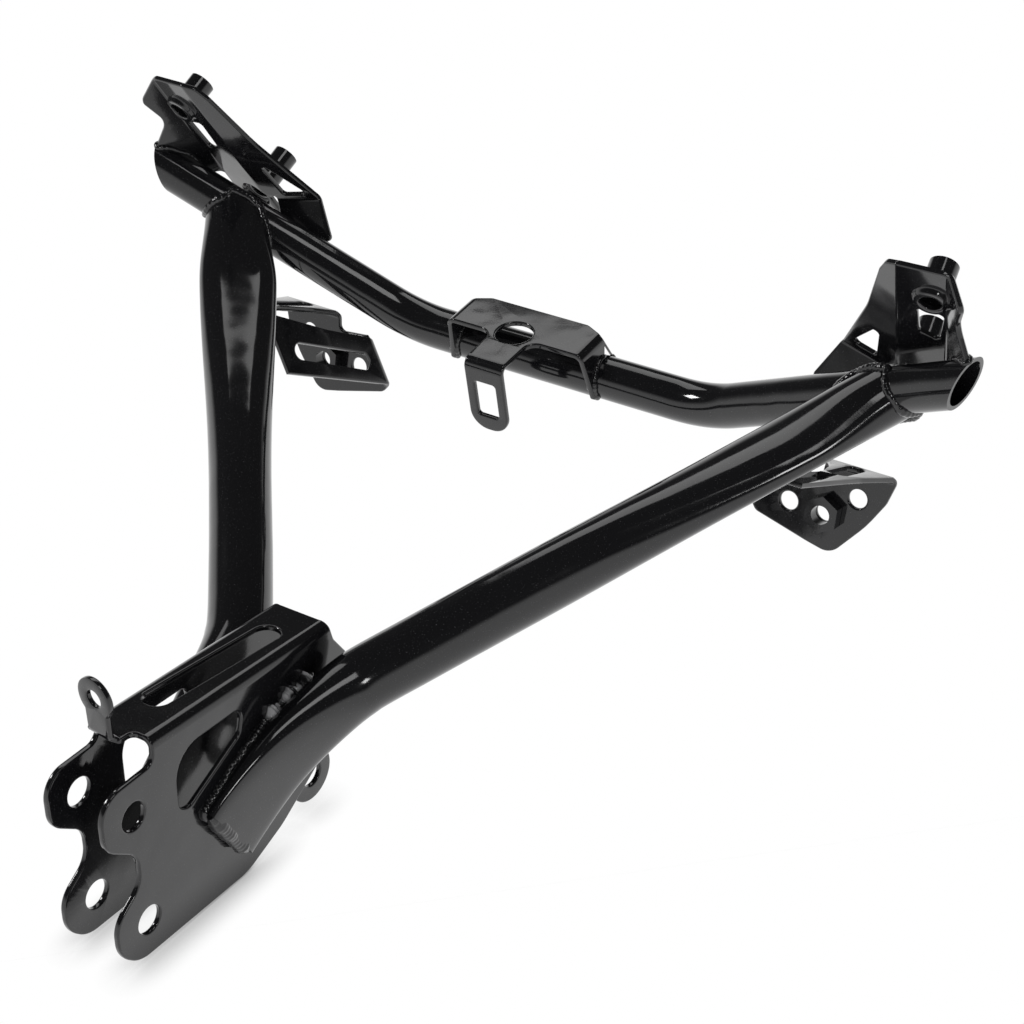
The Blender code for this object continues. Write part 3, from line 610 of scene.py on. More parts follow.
def cut(node, cutters):
    """Cut the hidden helper solids out of a node and keep the result as its mesh."""
    for cutter in cutters:
        boolean = node.modifiers.new("cut_" + cutter.name, "BOOLEAN")
        boolean.operation = "DIFFERENCE"
        boolean.solver = "EXACT"
        boolean.object = cutter
    graph = bpy.context.evaluated_depsgraph_get()
    result = bpy.data.meshes.new_from_object(node.evaluated_get(graph))
    node.modifiers.clear()
    node.data = result
    for cutter in cutters:
        bpy.data.objects.remove(cutter)


def pressed_wide(high):
    """Return the half width of the tube pressed to this half thickness."""
    return (math.pi * LEG_RADIUS - high * (math.pi - 2)) / 2


def directions(points):
    """Return the direction of a path at each of its points."""
    ways = []
    for index, point in enumerate(points):
        ahead = points[min(index + 1, len(points) - 1)] - point
        behind = point - points[max(index - 1, 0)]
        ways.append((ahead.normalized() + behind.normalized()).normalized())
    return ways


def leg_path():
    """Return the points, section frames and half sizes along the right leg."""
    cheek_way = Vector((0, math.cos(LEG_RISE), math.sin(LEG_RISE)))
    cheek_up = Vector((0, -math.sin(LEG_RISE), math.cos(LEG_RISE)))
    level = Vector((leg_way.y, -leg_way.x, 0)).normalized()
    run = LEG_LENGTH * math.cos(LEG_SPREAD)
    foot = [-LEG_TOE + (LEG_TOE + FOOT_END) * step / FOOT_RINGS for step in range(FOOT_RINGS + 1)]
    shaft = [SHAFT_RING, LEG_OVAL_START]
    front = [
        LEG_OVAL_START + (run - LEG_OVAL_START) * step / FRONT_RINGS
        for step in range(1, FRONT_RINGS + 1)
    ]
    points, sizes = [], []
    for along in [*foot, *shaft, *front]:
        opening = min((along + LEG_TOE) / (LEG_TOE + LEG_FULL_ROUND), 1.0) ** OPENING_POWER
        high = LEG_FLAT_HALF + (LEG_RADIUS - LEG_FLAT_HALF) * opening
        wide = pressed_wide(high)
        if along > LEG_OVAL_START:
            share = smooth_step((along - LEG_OVAL_START) / (LEG_OVAL_FULL - LEG_OVAL_START))
            narrowing = smooth_step((along - run + LEG_NECK_LENGTH) / LEG_NECK_LENGTH)
            share -= (1 - LEG_NECK_SHARE) * narrowing
            wide = LEG_RADIUS + (LEG_OVAL_WIDE - LEG_RADIUS) * share
            high = LEG_RADIUS - OVAL_SHARE * (wide - LEG_RADIUS)
        straight = leg_heel.x + along * math.tan(LEG_SPREAD)
        seated = HEAD_WIDTH / 2 + SEAT_GAP + high
        across = straight
        if along <= BEND_END:
            across = (straight + seated + math.hypot(straight - seated, LEG_BEND_EASE)) / 2
        lift = LEG_FOOT_LIFT * math.exp(-((along + LIFT_PLACE) / LIFT_LENGTH) ** 2)
        points.append(Vector((across, *LEG_HEEL)) + cheek_way * along + cheek_up * lift)
        sizes.append((wide, high))
    frames = []
    for index, along in enumerate(directions(points)):
        wide = cheek_up if index <= FOOT_RINGS + 1 else level
        wide = (wide - along * wide.dot(along)).normalized()
        turn = cheek_up.angle(wide) * math.copysign(1, cheek_up.cross(wide).dot(along))
        shift = 0 if index <= FOOT_RINGS + 1 else round(turn / (2 * math.pi / TUBE_SIDES))
        frames.append((wide, along.cross(wide), shift))
    return points, frames, sizes


def leg_rings(inset):
    """Return the rings of the leg's skin, this far inside its outer face."""
    rings = []
    points, frames, sizes = leg_path()
    for index, (point, (across, up, shift), (wide, high)) in enumerate(zip(points, frames, sizes)):
        wide, high = wide - inset, high - inset
        ring = []
        for step in range(TUBE_SIDES):
            turn = 2 * math.pi * (step - shift) / TUBE_SIDES
            spread = math.cos(turn)
            if index <= FOOT_RINGS:
                spread = math.tanh(FLATNESS * math.cos(turn)) / math.tanh(FLATNESS)
            out = (wide - high) * spread + high * math.cos(turn)
            ring.append(point + across * out + up * high * math.sin(turn))
        rings.append(ring)
    plane = (leg_way - bar_way * leg_way.dot(bar_way)).normalized()
    slides = [(bar_joint - at).dot(plane) / leg_way.dot(plane) for at in rings[-1]]
    for index in range(1, SHEARED_RINGS + 1):
        share = index / SHEARED_RINGS
        place = index - SHEARED_RINGS - 1
        rings[place] = [at + leg_way * slide * share for at, slide in zip(rings[place], slides)]
    return rings


def mirror_over(piece):
    """Mirror a finished mesh for the left side, with its faces still outwards."""
    piece.data.transform(Matrix.Scale(-1, 4, ACROSS))
    piece.data.flip_normals()


def make_leg(side, name):
    """Add one leg, trimmed to the plane of the crossbar's axis and notched for the crossbar."""
    skin = leg_rings(0.0) + leg_rings(LEG_WALL)[::-1]
    leg = add_node(name.replace("leg", "tube"), loft(skin, closed=True), tube_paint)
    reach = bar_way * NOTCH_REACH
    notch = rod("leg_notch", bar_joint - reach, bar_joint + reach, BAR_RADIUS + SEAT_GAP)
    cut(leg, [notch])
    if side < 0:
        mirror_over(leg)
    return dress(leg, name)


legs = {1: make_leg(1, "leg_right"), -1: make_leg(-1, "leg_left")}


# Cross tube: the 19 mm steel tube across the front of the stay, with a level middle and two arms
# that sweep back and up to open ends. It is bent cold in two long bends, and lies in the notches
# of the main tubes.
BAR_WALL = 0.0016
BAR_BEND_X = 0.0753
BAR_BEND_RADIUS = 0.060
BAR_OVERHANG = 0.0358
BAR_END_PITCH = math.radians(-15)
bar_bend = bar_joint + bar_way * ((BAR_BEND_X - bar_joint.x) / bar_way.x)
bar_end = bar_joint + bar_way * BAR_OVERHANG
bar_centre = Vector((0, bar_bend.y, bar_bend.z))


def sweep(points):
    """Return the directions across a path at each point, without twist."""
    frames = []
    across = (points[1] - points[0]).orthogonal().normalized()
    for along in directions(points):
        across = (across - along * across.dot(along)).normalized()
        frames.append((across, along.cross(across)))
    return frames


def bar_path():
    """Return the points of the crossbar's axis from the left end to the right end."""
    turn = bar_way.angle(ACROSS)
    reach = BAR_BEND_RADIUS * math.tan(turn / 2)
    inward = Vector((-1, 0, 0))
    away = (bar_way + inward).normalized()
    pivot = bar_bend + away * BAR_BEND_RADIUS / math.cos(turn / 2)
    start = bar_bend + inward * reach - pivot
    axis = ACROSS.cross(bar_way).normalized()
    steps = 2 * math.ceil(turn / ARC_STEP)
    half = [pivot + Matrix.Rotation(turn * step / steps, 3, axis) @ start for step in range(steps + 1)]
    half.append(bar_end)
    return [Vector((-point.x, point.y, point.z)) for point in reversed(half)] + half


def tube_round(points, radius, wall, pitch=None):
    """Return an open round tube along a path, its ends cut square or pitched to the level."""
    frames = sweep(points)
    ways = {0: points[0] - points[1], len(points) - 1: points[-1] - points[-2]}
    skins = []
    for inset, order in ((0.0, range(len(points))), (wall, reversed(range(len(points))))):
        for index in order:
            across, up = frames[index]
            turns = (2 * math.pi * step / TUBE_SIDES for step in range(TUBE_SIDES))
            ring = [
                points[index] + (across * math.cos(turn) + up * math.sin(turn)) * (radius - inset)
                for turn in turns
            ]
            if pitch is not None and index in ways:
                way = ways[index]
                level = Vector((way.x, way.y, 0)).normalized()
                face = level * math.cos(pitch) + Vector((0, 0, math.sin(pitch)))
                ring = [at + way * ((points[index] - at).dot(face) / way.dot(face)) for at in ring]
            skins.append(ring)
    return loft(skins, closed=True)


bar_skin = tube_round(bar_path(), BAR_RADIUS, BAR_WALL, BAR_END_PITCH)
bar = add_node("cross_tube", bar_skin, tube_paint)
dress(bar, "crossbar")


# Saddle: the folded sheet bracket that straddles the middle of the cross tube. Its plate has a
# round hole and a turned-down tab with a long slot, and its two leaves are cut to the tube's round
# and welded to it.
SADDLE_OFFSET = -0.0125
SADDLE_HALF = 0.0335
SADDLE_HEIGHT = 0.0180
SADDLE_HOLE = 0.0084
TAB_HALF = 0.0096
TAB_OFFSET = -0.0008
TAB_REACH = 0.0395
TAB_DROP = 0.0350
TAB_SLOT_WIDTH = 0.0106
TAB_SLOT_TOP = 0.0095
TAB_SLOT_LENGTH = 0.0180
TAB_FOLD = math.radians(93)
SADDLE_TILT = math.radians(8)
SADDLE_SPLAY = math.radians(83)
saddle_way = Vector((0, math.cos(SADDLE_TILT), math.sin(SADDLE_TILT)))
saddle_side = [
    (TAB_HALF, -TAB_REACH - developed(TAB_DROP, TAB_FOLD), TAB_HALF * 0.9),
    (TAB_HALF, -0.0172, 0.0060),
    (SADDLE_HALF - 0.0010, -0.0172, 0.0030),
    (SADDLE_HALF + developed(0.0238, SADDLE_SPLAY), -0.0134, 0.0020),
    (SADDLE_HALF + developed(0.0238, SADDLE_SPLAY), -0.0050, 0.0),
    (SADDLE_HALF + developed(0.0130, SADDLE_SPLAY), 0.0065, 0.0),
    (SADDLE_HALF, 0.0010, 0.0030),
    (SADDLE_HALF - 0.0087, 0.0052, 0.0040),
]
saddle_outline = saddle_side + [(-x, y, radius) for x, y, radius in reversed(saddle_side)]
saddle_outline = [
    (x + TAB_OFFSET if abs(x) < SADDLE_HALF / 2 else x, y, radius)
    for x, y, radius in saddle_outline
]
slot_top = -TAB_REACH - developed(TAB_SLOT_TOP, TAB_FOLD)
slot_half = TAB_SLOT_WIDTH / 2
tab_slot = rounded([
    (TAB_OFFSET - slot_half, slot_top, 0.0015),
    (TAB_OFFSET + slot_half, slot_top, 0.0015),
    (TAB_OFFSET + slot_half, slot_top - TAB_SLOT_LENGTH, 0.0015),
    (TAB_OFFSET - slot_half, slot_top - TAB_SLOT_LENGTH, 0.0015),
])
saddle = blank(rounded(saddle_outline), [circle((-0.0010, -0.0145), SADDLE_HOLE), tab_slot])
fold(saddle, [
    ((0, -TAB_REACH), (-1, 0), -TAB_FOLD, lambda at: at.y < -0.025),
    ((SADDLE_HALF, 0), (0, -1), -SADDLE_SPLAY, lambda at: at.x > 0.020 and at.y > -0.025),
    ((-SADDLE_HALF, 0), (0, 1), -SADDLE_SPLAY, lambda at: at.x < -0.020 and at.y > -0.025),
])
saddle_frame = frame_matrix(
    bar_centre + Vector((SADDLE_OFFSET, 0, SADDLE_HEIGHT)),
    ACROSS,
    saddle_way,
    ACROSS.cross(saddle_way),
)
saddle_piece = add_node("saddle", saddle, sheet_paint, saddle_frame)
cope = Vector((BAR_BEND_X, 0, 0))
cut(saddle_piece, [rod("saddle_cope", bar_centre - cope, bar_centre + cope, BAR_RADIUS + SEAT_GAP)])
dress(saddle_piece, "centre_bracket")


# Mirror plates: one folded sheet bracket on each arm of the cross tube, with two dished seats for
# a mirror's bolts, a window, a gusset, a flange and a foot, cut to the tube's round and welded on.
# A turned steel spacer stands behind each seat. The blank's X runs outboard, its Y up the fold.
MIRROR_DOWN = (-0.146, 0.521, -0.841)
MIRROR_FRONT = (-0.100, 0.830, 0.550)
MIRROR_ALONG = -0.0029
MIRROR_HEIGHT = 0.0651
GUSSET_FOLD = math.radians(20)
FOOT_FOLD = math.radians(52)
FLANGE_FOLD = math.radians(52)
FLANGE_LINE = 0.0198
FLANGE_DEPTH = 0.0105
FLANGE_FOOT = 0.0200
SEAT_DISH = 0.0022
SEAT_RADIUS = 0.0080
MIRROR_HOLE = 0.0041
UPPER_SEAT = (0.0134, -0.0155)
LOWER_SEAT = (0.0068, -0.0730)
MIRROR_STAND_OFF = 0.0065
UPPER_COLLAR = 0.0150
LOWER_COLLAR = 0.0195
COLLAR_RADIUS = 0.0058
COPE_BEFORE = 0.07
COPE_BEYOND = 0.01
mirror_down = Vector(MIRROR_DOWN).normalized()
mirror_front = Vector(MIRROR_FRONT)
mirror_front = (mirror_front - mirror_down * mirror_front.dot(mirror_down)).normalized()
mirror_out = mirror_down.cross(mirror_front)
mirror_origin = (
    bar_joint
    + bar_way * MIRROR_ALONG
    - mirror_down * MIRROR_HEIGHT
    + mirror_front * (MIRROR_STAND_OFF + BAR_RADIUS)
)
mirror_frame = frame_matrix(mirror_origin, mirror_out, -mirror_down, -mirror_front)
flange_rim = FLANGE_LINE + developed(FLANGE_DEPTH, FLANGE_FOLD)
mirror_outline = [
    (-0.0078, -0.0080, 0.0030),
    (-0.0050, -0.0010, 0.0040),
    (0.0000, 0.0022, 0.0030),
    (FLANGE_LINE - 0.0010, 0.0024, 0.0060),
    (flange_rim + 0.0010, -0.0060, 0.0035),
    (flange_rim - 0.0025, -0.0215, 0.0080),
    (FLANGE_LINE + FLANGE_FOOT, -0.0320, 0.0020),
    (FLANGE_LINE + FLANGE_FOOT, -0.0420, 0.0),
    (FLANGE_LINE + FLANGE_FOOT / 2, -0.0560, 0.0030),
    (FLANGE_LINE + 0.0005, -0.0600, 0.0040),
    (FLANGE_LINE + 0.0005, LOWER_SEAT[1] - 0.0135, 0.0120),
    (-0.0022, LOWER_SEAT[1] - 0.0135, 0.0040),
    (-0.0022, -0.0730, 0.0010),
    (-0.0046, -0.0730, 0.0010),
    (-0.0062, -0.0900, 0.0020),
    (-0.0310, -0.0985, 0.0020),
    (-0.0272, -0.0785, 0.0),
    (-0.0140, -0.0385, 0.0600),
]
mirror_holes = [
    rounded([
        (0.0078, -0.0246, 0.0015),
        (0.0180, -0.0256, 0.0020),
        (0.0165, -0.0440, 0.0020),
        (0.0086, -0.0400, 0.0015),
    ]),
    rounded([
        (-0.0080, -0.0490, 0.0015),
        (-0.0100, -0.0725, 0.0020),
        (-0.0225, -0.0735, 0.0020),
    ]),
]
mirror_dishes = [
    (UPPER_SEAT, MIRROR_HOLE, SEAT_RADIUS, SEAT_DISH),
    (LOWER_SEAT, MIRROR_HOLE, SEAT_RADIUS, -SEAT_DISH),
]


def make_mirror_bracket(side, suffix):
    """Add one mirror bracket and its two collars."""
    plate = blank(rounded(mirror_outline), mirror_holes, mirror_dishes)
    fold(plate, [
        ((-0.0030, -0.0750), (-1, -0.12), FOOT_FOLD, lambda at: at.x < -0.0034 and at.y < -0.070),
        ((0, 0), (0, 1), -GUSSET_FOLD, lambda at: at.x < 0.003),
        ((FLANGE_LINE, 0), (0, -1), FLANGE_FOLD, lambda at: at.x > 0.0150 and at.y > -0.0605),
    ])
    bracket = add_node("mirror_plate_" + suffix, plate, sheet_paint, mirror_frame)
    start, end = bar_joint - bar_way * COPE_BEFORE, bar_end + bar_way * COPE_BEYOND
    cut(bracket, [rod("mirror_cope", start, end, BAR_RADIUS + SEAT_GAP)])
    if side < 0:
        mirror_over(bracket)
    dress(bracket, "mirror_bracket_" + suffix)
    collars = (
        ("upper", UPPER_SEAT, UPPER_COLLAR, SEAT_DISH),
        ("lower", LOWER_SEAT, LOWER_COLLAR, -SEAT_DISH),
    )
    for level, seat, length, dish in collars:
        near = dish - SHEET / 2 - SEAT_GAP
        place = mirror_frame @ Matrix.Translation((*seat, near))
        points = [Vector((0, 0, 0)), Vector((0, 0, -length))]
        collar = tube_round(points, COLLAR_RADIUS, COLLAR_RADIUS - MIRROR_HOLE)
        spacer = add_node("spacer_" + level + "_" + suffix, collar, tube_paint, place, side)
        dress(spacer, "mirror_collar_" + level + "_" + suffix)
    return bracket


mirrors = {1: make_mirror_bracket(1, "right"), -1: make_mirror_bracket(-1, "left")}


# Side plates: one sheet bracket under each main tube, with three holes, a slotted neck that is
# folded over and cut to the tube's round, and a long slotted arm. A steel nut is welded round
# the middle hole. The blank's X runs across and its Y up the three-hole plate.
SIDE_HOLE = 0.00415
SIDE_NUT_RADIUS = 0.0072
SIDE_NUT_HEIGHT = 0.0050
SIDE_LEAN = math.radians(11.3)
SIDE_PLACE = (-0.0215, 0.0262, -0.0553)
NECK_FOLD = math.radians(79.5)
ARM_FOLD = math.radians(95.5)
NUT_SIDES = 24
TRIM_LIFT = 0.9
TRIM_START = 0.13
TRIM_BEYOND = 0.03
side_up = Vector((0, math.sin(SIDE_LEAN), math.cos(SIDE_LEAN)))
side_frame = frame_matrix(
    leg_end + Vector(SIDE_PLACE),
    ACROSS,
    side_up,
    ACROSS.cross(side_up),
)
arm_start = Vector((-0.0470, -0.0268))
arm_way = Vector((0.5355, 0.8446)).normalized()
arm_out = Vector((-arm_way.y, arm_way.x))


def on_arm(along, distance, radius=0.0):
    """Return a blank point on the folded arm, from the arm's own sizes."""
    point = arm_start + arm_way * along + arm_out * developed(distance, ARM_FOLD)
    return (point.x, point.y, radius)


def on_neck(x, distance, radius=0.0):
    """Return a blank point on the neck, which folds at the top of the plate."""
    return (x, developed(distance, NECK_FOLD), radius)


side_outline = [
    (0.0168, -0.0020, 0.0040),
    on_neck(0.0104, 0.0250, 0.0300),
    on_neck(0.0045, 0.0720),
    on_neck(-0.0105, 0.0720),
    on_neck(-0.0032, 0.0340, 0.0200),
    on_neck(-0.0078, 0.0140, 0.0150),
    (-0.0152, -0.0010, 0.0030),
    (-0.0160, -0.0078, 0.0030),
    (-0.0310, -0.0064, 0.0010),
    on_arm(0.0230, 0.0000),
    on_arm(0.0338, 0.0270, 0.0500),
    on_arm(0.0500, 0.0600),
    on_arm(0.0205, 0.0600),
    on_arm(0.0000, 0.0000, 0.0500),
    (-0.0432, -0.0310, 0.0040),
    (-0.0180, -0.0375, 0.0100),
    (-0.0065, -0.0400, 0.0080),
    (0.0070, -0.0235, 0.0500),
    (0.0140, -0.0115, 0.0100),
]
nut_seat = (-0.0115, -0.0222)
side_holes = [
    circle(nut_seat, SIDE_HOLE),
    circle((0.0015, -0.0125), SIDE_HOLE),
    circle((-0.0286, -0.0223), SIDE_HOLE),
    slot(on_neck(0.0005, 0.0045)[:2], on_neck(0.0015, 0.0335)[:2], 0.0085),
    slot(on_arm(0.0130, 0.0080)[:2], on_arm(0.0295, 0.0510)[:2], 0.0080),
]


def make_side_bracket(side, suffix):
    """Add one side bracket and its weld nut."""
    plate = blank(rounded(side_outline), side_holes)
    fold(plate, [
        ((0, 0), (1, 0), NECK_FOLD, lambda at: at.x > -0.0158 and at.y > -0.0045),
        (arm_start, arm_way, ARM_FOLD, lambda at: at.x < -0.0300),
    ])
    bracket = add_node("side_plate_" + suffix, plate, sheet_paint, side_frame)
    leg_up = leg_way.cross(Vector((-1, 0, 0))).normalized() * LEG_RADIUS * TRIM_LIFT
    start, end = leg_heel + leg_way * TRIM_START, leg_end + leg_way * TRIM_BEYOND
    above = rod("side_trim", start + leg_up, end + leg_up, LEG_RADIUS)
    skin = add_node("side_cope", loft(leg_rings(-SEAT_GAP)[FOOT_RINGS + 1:]), None)
    cut(bracket, [skin, above])
    if side < 0:
        mirror_over(bracket)
    dress(bracket, "side_bracket_" + suffix)
    turns = [2 * math.pi * step / NUT_SIDES for step in range(NUT_SIDES)]
    half_flat = math.pi / 6
    flats = [
        SIDE_NUT_RADIUS / math.cos((turn + half_flat) % (2 * half_flat) - half_flat)
        for turn in turns
    ]
    bore = [SIDE_HOLE] * NUT_SIDES
    rings = []
    for reaches, levels in ((flats, (0, SIDE_NUT_HEIGHT)), (bore, (SIDE_NUT_HEIGHT, 0))):
        for level in levels:
            rings.append([
                Vector((reach * math.cos(turn), reach * math.sin(turn), level))
                for reach, turn in zip(reaches, turns)
            ])
    place = side_frame @ Matrix.Translation((*nut_seat, SHEET / 2 + SEAT_GAP))
    nut = add_node("weld_nut_" + suffix, loft(rings, closed=True), tube_paint, place, side)
    dress(nut, "side_nut_" + suffix)
    return bracket


sides = {1: make_side_bracket(1, "right"), -1: make_side_bracket(-1, "left")}


# Welds: beads of weld metal along each line where a sheet's cut edge or a tube's end meets the
# piece that carries it, laid by hand and rippled at that pace, with a lumpy run at each main
# tube's heel and a nose at its toe. They are painted over. The heel's lumps carry painted
# highlights: pale flecks in their colour stand for glints of light on the lumps.
FILLET_RADIUS = 0.0019
SHEET_BEAD_RADIUS = 0.0013
BEAD_PITCH = 0.0021
BEAD_STEP = 0.0004
BEAD_SIDES = 12
BEAD_LUMPS = 0.35
JOINT_LUMPS = 0.25
TOE_LUMPS = 0.12
HEEL_LUMPS = 0.9
HEEL_RADIUS = 1.6 * FILLET_RADIUS
# Painted highlights on the heel's lumps: pale flecks in the weld enamel's colour stand for glints of
# light.
HEEL_BLACK, HEEL_HIGHLIGHT_TONE = "1c1c1e", "b4b4b6"
HEEL_HIGHLIGHT_FLECKS = (230.0, 0.48, 0.62)  # flecks of 4 mm
PATH_SMOOTHINGS = 4
FEWEST_RINGS = 6
RIPPLE_SHARE = 0.15
SWELL_SCALE = 260
DRIFT_SCALE = 180
END_SHARE = 0.15
BEAD_SINK = 0.0004
FOOT_WELD_LIFT = 0.0016
SEAM_ANGLE = math.radians(25)
SHORTEST_SEAM = 0.004
BAR_SEAM_REACH = 0.0006
LEG_SEAM_REACH = 0.0016

weld_paint = make_paint("weld_enamel", 0.20, (0.06, 0.16))
# The heel's weld enamel carries painted highlights in its colour, as pale flecks.
heel_highlight_paint = make_paint(
    "weld_enamel_painted_highlights", 0.30, (0.12, 0.30), (HEEL_BLACK, HEEL_HIGHLIGHT_TONE), HEEL_HIGHLIGHT_FLECKS
)


def resample(points, step):
    """Return points a fixed step apart along a path."""
    even, carried = [points[0]], 0.0
    for before, after in zip(points, points[1:]):
        length = (after - before).length
        along = step - carried
        while along <= length:
            even.append(before.lerp(after, along / length))
            along += step
        carried = length - (along - step)
    return even


def lay_bead(bm, points, radius, lumps):
    """Add one bead along a path to a mesh under construction, smooth for a low share of lumps."""
    path = resample(points, BEAD_STEP)
    for again in range(PATH_SMOOTHINGS):
        middles = [sum(path[index - 1:index + 2], Vector()) / 3 for index in range(1, len(path) - 1)]
        path = [path[0], *middles, path[-1]]
    if len(path) < FEWEST_RINGS:
        return
    frames = sweep(path)
    last = None
    for index, (point, (across, up)) in enumerate(zip(path, frames)):
        along = index * BEAD_STEP
        ends = min(along, (len(path) - 1 - index) * BEAD_STEP)
        ripple = RIPPLE_SHARE * math.sin(2 * math.pi * along / BEAD_PITCH)
        swell = 1 + lumps * (noise.noise(point * SWELL_SCALE) + ripple)
        size = radius * swell * math.sqrt(min(END_SHARE + ends / radius * 0.5, 1.0))
        place = point * DRIFT_SCALE
        drift = across * noise.noise(place) + up * noise.noise(place + Vector((9, 0, 0)))
        drift *= radius * lumps
        ring = []
        for side in range(BEAD_SIDES):
            turn = 2 * math.pi * side / BEAD_SIDES
            out = (across * math.cos(turn) + up * math.sin(turn)) * size
            ring.append(bm.verts.new(point + drift + out))
        if last:
            join_rings(bm, last, ring)
        else:
            bm.faces.new(ring)
        last = ring
    bm.faces.new(last)


def seams(piece, tube, reach):
    """Return the closed lines of a piece's mesh that border the face cut to fit a tube."""
    graph = bpy.context.evaluated_depsgraph_get()
    tree = BVHTree.FromObject(tube, graph)
    bm = bmesh.new()
    bm.from_mesh(piece.data)
    near = {vert for vert in bm.verts if tree.find_nearest(vert.co, reach)[0] is not None}
    lines = [
        edge
        for edge in bm.edges
        if near.issuperset(edge.verts) and edge.calc_face_angle(0.0) > SEAM_ANGLE
    ]
    links = {}
    for edge in lines:
        for vert in edge.verts:
            links.setdefault(vert, []).append(edge)
    left = set(lines)
    paths = []
    while left:
        edge = next(edge for edge in lines if edge in left)
        left.discard(edge)
        path = [edge.verts[0], edge.verts[1]]
        for turn in range(2):
            while True:
                step = next((item for item in links[path[-1]] if item in left), None)
                if step is None:
                    break
                left.discard(step)
                path.append(step.other_vert(path[-1]))
            path.reverse()
        points = [vert.co.copy() for vert in path]
        if sum((b - a).length for a, b in zip(points, points[1:])) > SHORTEST_SEAM:
            paths.append(points)
    bm.free()
    return paths


def flipped(points, side):
    """Return a path of the right side, mirrored for the left side."""
    return [Vector((point.x * side, point.y, point.z)) for point in points]


def weld(name, paths, radius, lumps=BEAD_LUMPS, finish=weld_paint):
    """Add one piece that holds the beads of these paths."""
    bm = bmesh.new()
    for points in paths:
        lay_bead(bm, points, radius, lumps)
    return dress(add_node(name, bm, finish))


def leg_joint():
    """Return the closed line where the right leg meets the crossbar."""
    line = []
    for at in leg_rings(0.0)[-2]:
        off = at - bar_joint
        way = leg_way - bar_way * leg_way.dot(bar_way)
        off -= bar_way * off.dot(bar_way)
        a, b, c = way.dot(way), 2 * off.dot(way), off.dot(off) - (BAR_RADIUS - BEAD_SINK) ** 2
        root = b * b - 4 * a * c
        line.append(at + leg_way * ((-b - math.sqrt(max(root, 0.0))) / (2 * a)))
    return line + line[:2]


def foot_edges():
    """Return the line around the upper edge, the toe and the lower edge of the right leg's foot."""
    points, frames, sizes = leg_path()
    upper, lower = [], []
    for point, (across, up, shift), (wide, high) in zip(points, frames, sizes):
        if point.x - high > HEAD_WIDTH / 2 + FOOT_WELD_LIFT:
            break
        for line, way in ((upper, 1), (lower, -1)):
            edge = point + across * way * (wide - 0.6 * high)
            line.append(Vector((HEAD_WIDTH / 2 + SEAT_GAP, edge.y, edge.z)))
    return upper[::-1] + lower


for side, suffix in ((1, "right"), (-1, "left")):
    around = foot_edges()
    heel = around[:FOOT_RINGS // 3]
    weld("welds_foot_" + suffix, [flipped(around, side)], FILLET_RADIUS)
    weld("welds_heel_" + suffix, [flipped(heel, side)], HEEL_RADIUS, HEEL_LUMPS, heel_highlight_paint)
    middle = len(around) // 2
    nose = [point + Vector((LEG_FLAT_HALF, 0, 0)) for point in around[middle - 1:middle + 1]]
    weld("welds_toe_" + suffix, [flipped(nose, side)], LEG_FLAT_HALF + BEAD_SINK, TOE_LUMPS)
    weld("welds_joint_" + suffix, [flipped(leg_joint(), side)], FILLET_RADIUS, JOINT_LUMPS)
    weld("welds_mirror_" + suffix, seams(mirrors[side], bar, BAR_SEAM_REACH), SHEET_BEAD_RADIUS)
    weld("welds_side_" + suffix, seams(sides[side], legs[side], LEG_SEAM_REACH), SHEET_BEAD_RADIUS)
weld("welds_saddle", seams(saddle_piece, bar, BAR_SEAM_REACH), SHEET_BEAD_RADIUS)


# Stage: a glowing white floor with a painted contact shadow, which only darkens it close to the
# object, and a white backdrop. For other rays the walls are white near the horizon and dark above,
# as in a studio with a low cyclorama.
FLOOR_HALF = 30
FLOOR_DROP = 0.0004
SHADOW_REACH = 0.014

low = min(corner[2] for corner in cad_box)
floor_mesh = bpy.data.meshes.new("floor")
floor_bm = bmesh.new()
bmesh.ops.create_grid(floor_bm, x_segments=1, y_segments=1, size=FLOOR_HALF)
floor_bm.to_mesh(floor_mesh)
floor_bm.free()
floor = bpy.data.objects.new("floor", floor_mesh)
floor.location.z = low - FLOOR_DROP
bpy.context.collection.objects.link(floor)
floor_look = bpy.data.materials.new("floor_white")
floor_look.use_nodes = True
floor_tree = floor_look.node_tree
floor_tree.nodes.remove(floor_tree.nodes["Principled BSDF"])
# Painted shadow: occlusion near the object darkens the floor's glow.
painted_shadow_occlusion = add_step(floor_tree, "ShaderNodeAmbientOcclusion", {"Distance": SHADOW_REACH, "samples": 16})
tone = add_step(
    floor_tree,
    "ShaderNodeMapRange",
    {"From Min": 0.35, "From Max": 0.97, "To Min": 0.28, "To Max": 1.0},
    {"Value": painted_shadow_occlusion.outputs["AO"]},
)
glow = add_step(floor_tree, "ShaderNodeEmission", {"Strength": 1.0}, {"Color": tone.outputs["Result"]})
floor_tree.links.new(glow.outputs["Emission"], floor_tree.nodes["Material Output"].inputs["Surface"])
floor_mesh.materials.append(floor_look)

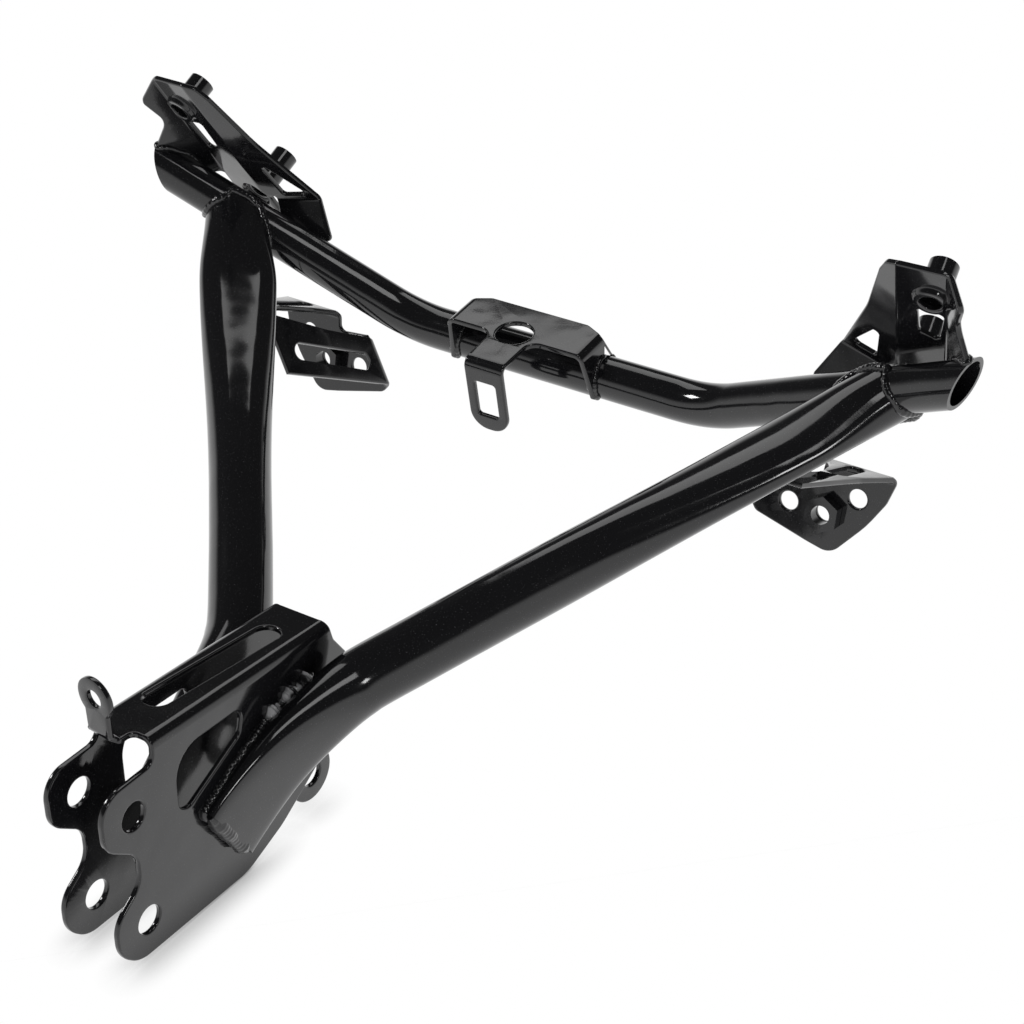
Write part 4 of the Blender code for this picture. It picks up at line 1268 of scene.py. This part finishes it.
world = bpy.context.scene.world or bpy.data.worlds.new("studio")
bpy.context.scene.world = world
world.use_nodes = True
sky = world.node_tree
ray = add_step(sky, "ShaderNodeLightPath")
backdrop = sky.nodes["Background"]
way = add_step(sky, "ShaderNodeTexCoord").outputs["Generated"]
height = add_step(sky, "ShaderNodeSeparateXYZ", {}, {"Vector": way}).outputs["Z"]
wall = add_step(
    sky,
    "ShaderNodeMapRange",
    {
        "From Min": 0.06,
        "From Max": 0.34,
        "To Min": 0.95,
        "To Max": 0.05,
        "interpolation_type": "SMOOTHSTEP",
    },
    {"Value": height},
)
tint = add_step(sky, "ShaderNodeMix", {"data_type": "RGBA"}, {"Factor": ray.outputs["Is Camera Ray"]})
sky.links.new(wall.outputs["Result"], tint.inputs[6])
tint.inputs[7].default_value = (1.0, 1.0, 1.0, 1.0)
sky.links.new(tint.outputs[2], backdrop.inputs["Color"])


# Soft boxes: a broad one behind and one above, and two small bright ones left and right, which
# draw the highlights on the tubes.
STAND_MIDDLE = (0.0, 0.15, 0.0)


def softbox(name, place, width, height, radiance):
    """Add a rectangular studio light that faces the object, set by the brightness of its face."""
    light = bpy.data.lights.new(name, "AREA")
    light.shape = "RECTANGLE"
    light.size, light.size_y = width, height
    light.energy = radiance * math.pi * width * height
    lamp = bpy.data.objects.new(name, light)
    lamp.location = place
    lamp.rotation_euler = (Vector(STAND_MIDDLE) - Vector(place)).to_track_quat("-Z", "Y").to_euler()
    bpy.context.collection.objects.link(lamp)


softbox("softbox_back", (-0.75, 1.15, 1.45), 1.5, 0.8, 1.6)
softbox("softbox_top", (0.5, 0.0, 1.7), 0.7, 0.5, 3.0)
softbox("key_left", (-1.3, -0.5, 1.2), 0.40, 0.35, 22.0)
softbox("key_right", (1.3, -0.7, 1.1), 0.30, 0.30, 12.0)


# Camera at the photograph's angle, from the head pressing's end and above
LENS = 75.586
CAMERA_PLACE = (0.4391, -0.4151, 0.4760)

camera_data = bpy.data.cameras.new("camera")
camera_data.sensor_width = 36.0
camera_data.lens = LENS
camera_data.clip_start, camera_data.clip_end = 0.01, 100.0
camera = bpy.data.objects.new("camera", camera_data)
view_right = Vector((0.8386, 0.5447, 0.0)).normalized()
view_way = Vector((-0.4654, 0.7165, -0.5196)).normalized()
view_up = view_right.cross(view_way)
camera.matrix_world = frame_matrix(Vector(CAMERA_PLACE), view_right, view_up, -view_way)
bpy.context.collection.objects.link(camera)
bpy.context.scene.camera = camera
bpy.context.scene.view_settings.view_transform = "Standard"
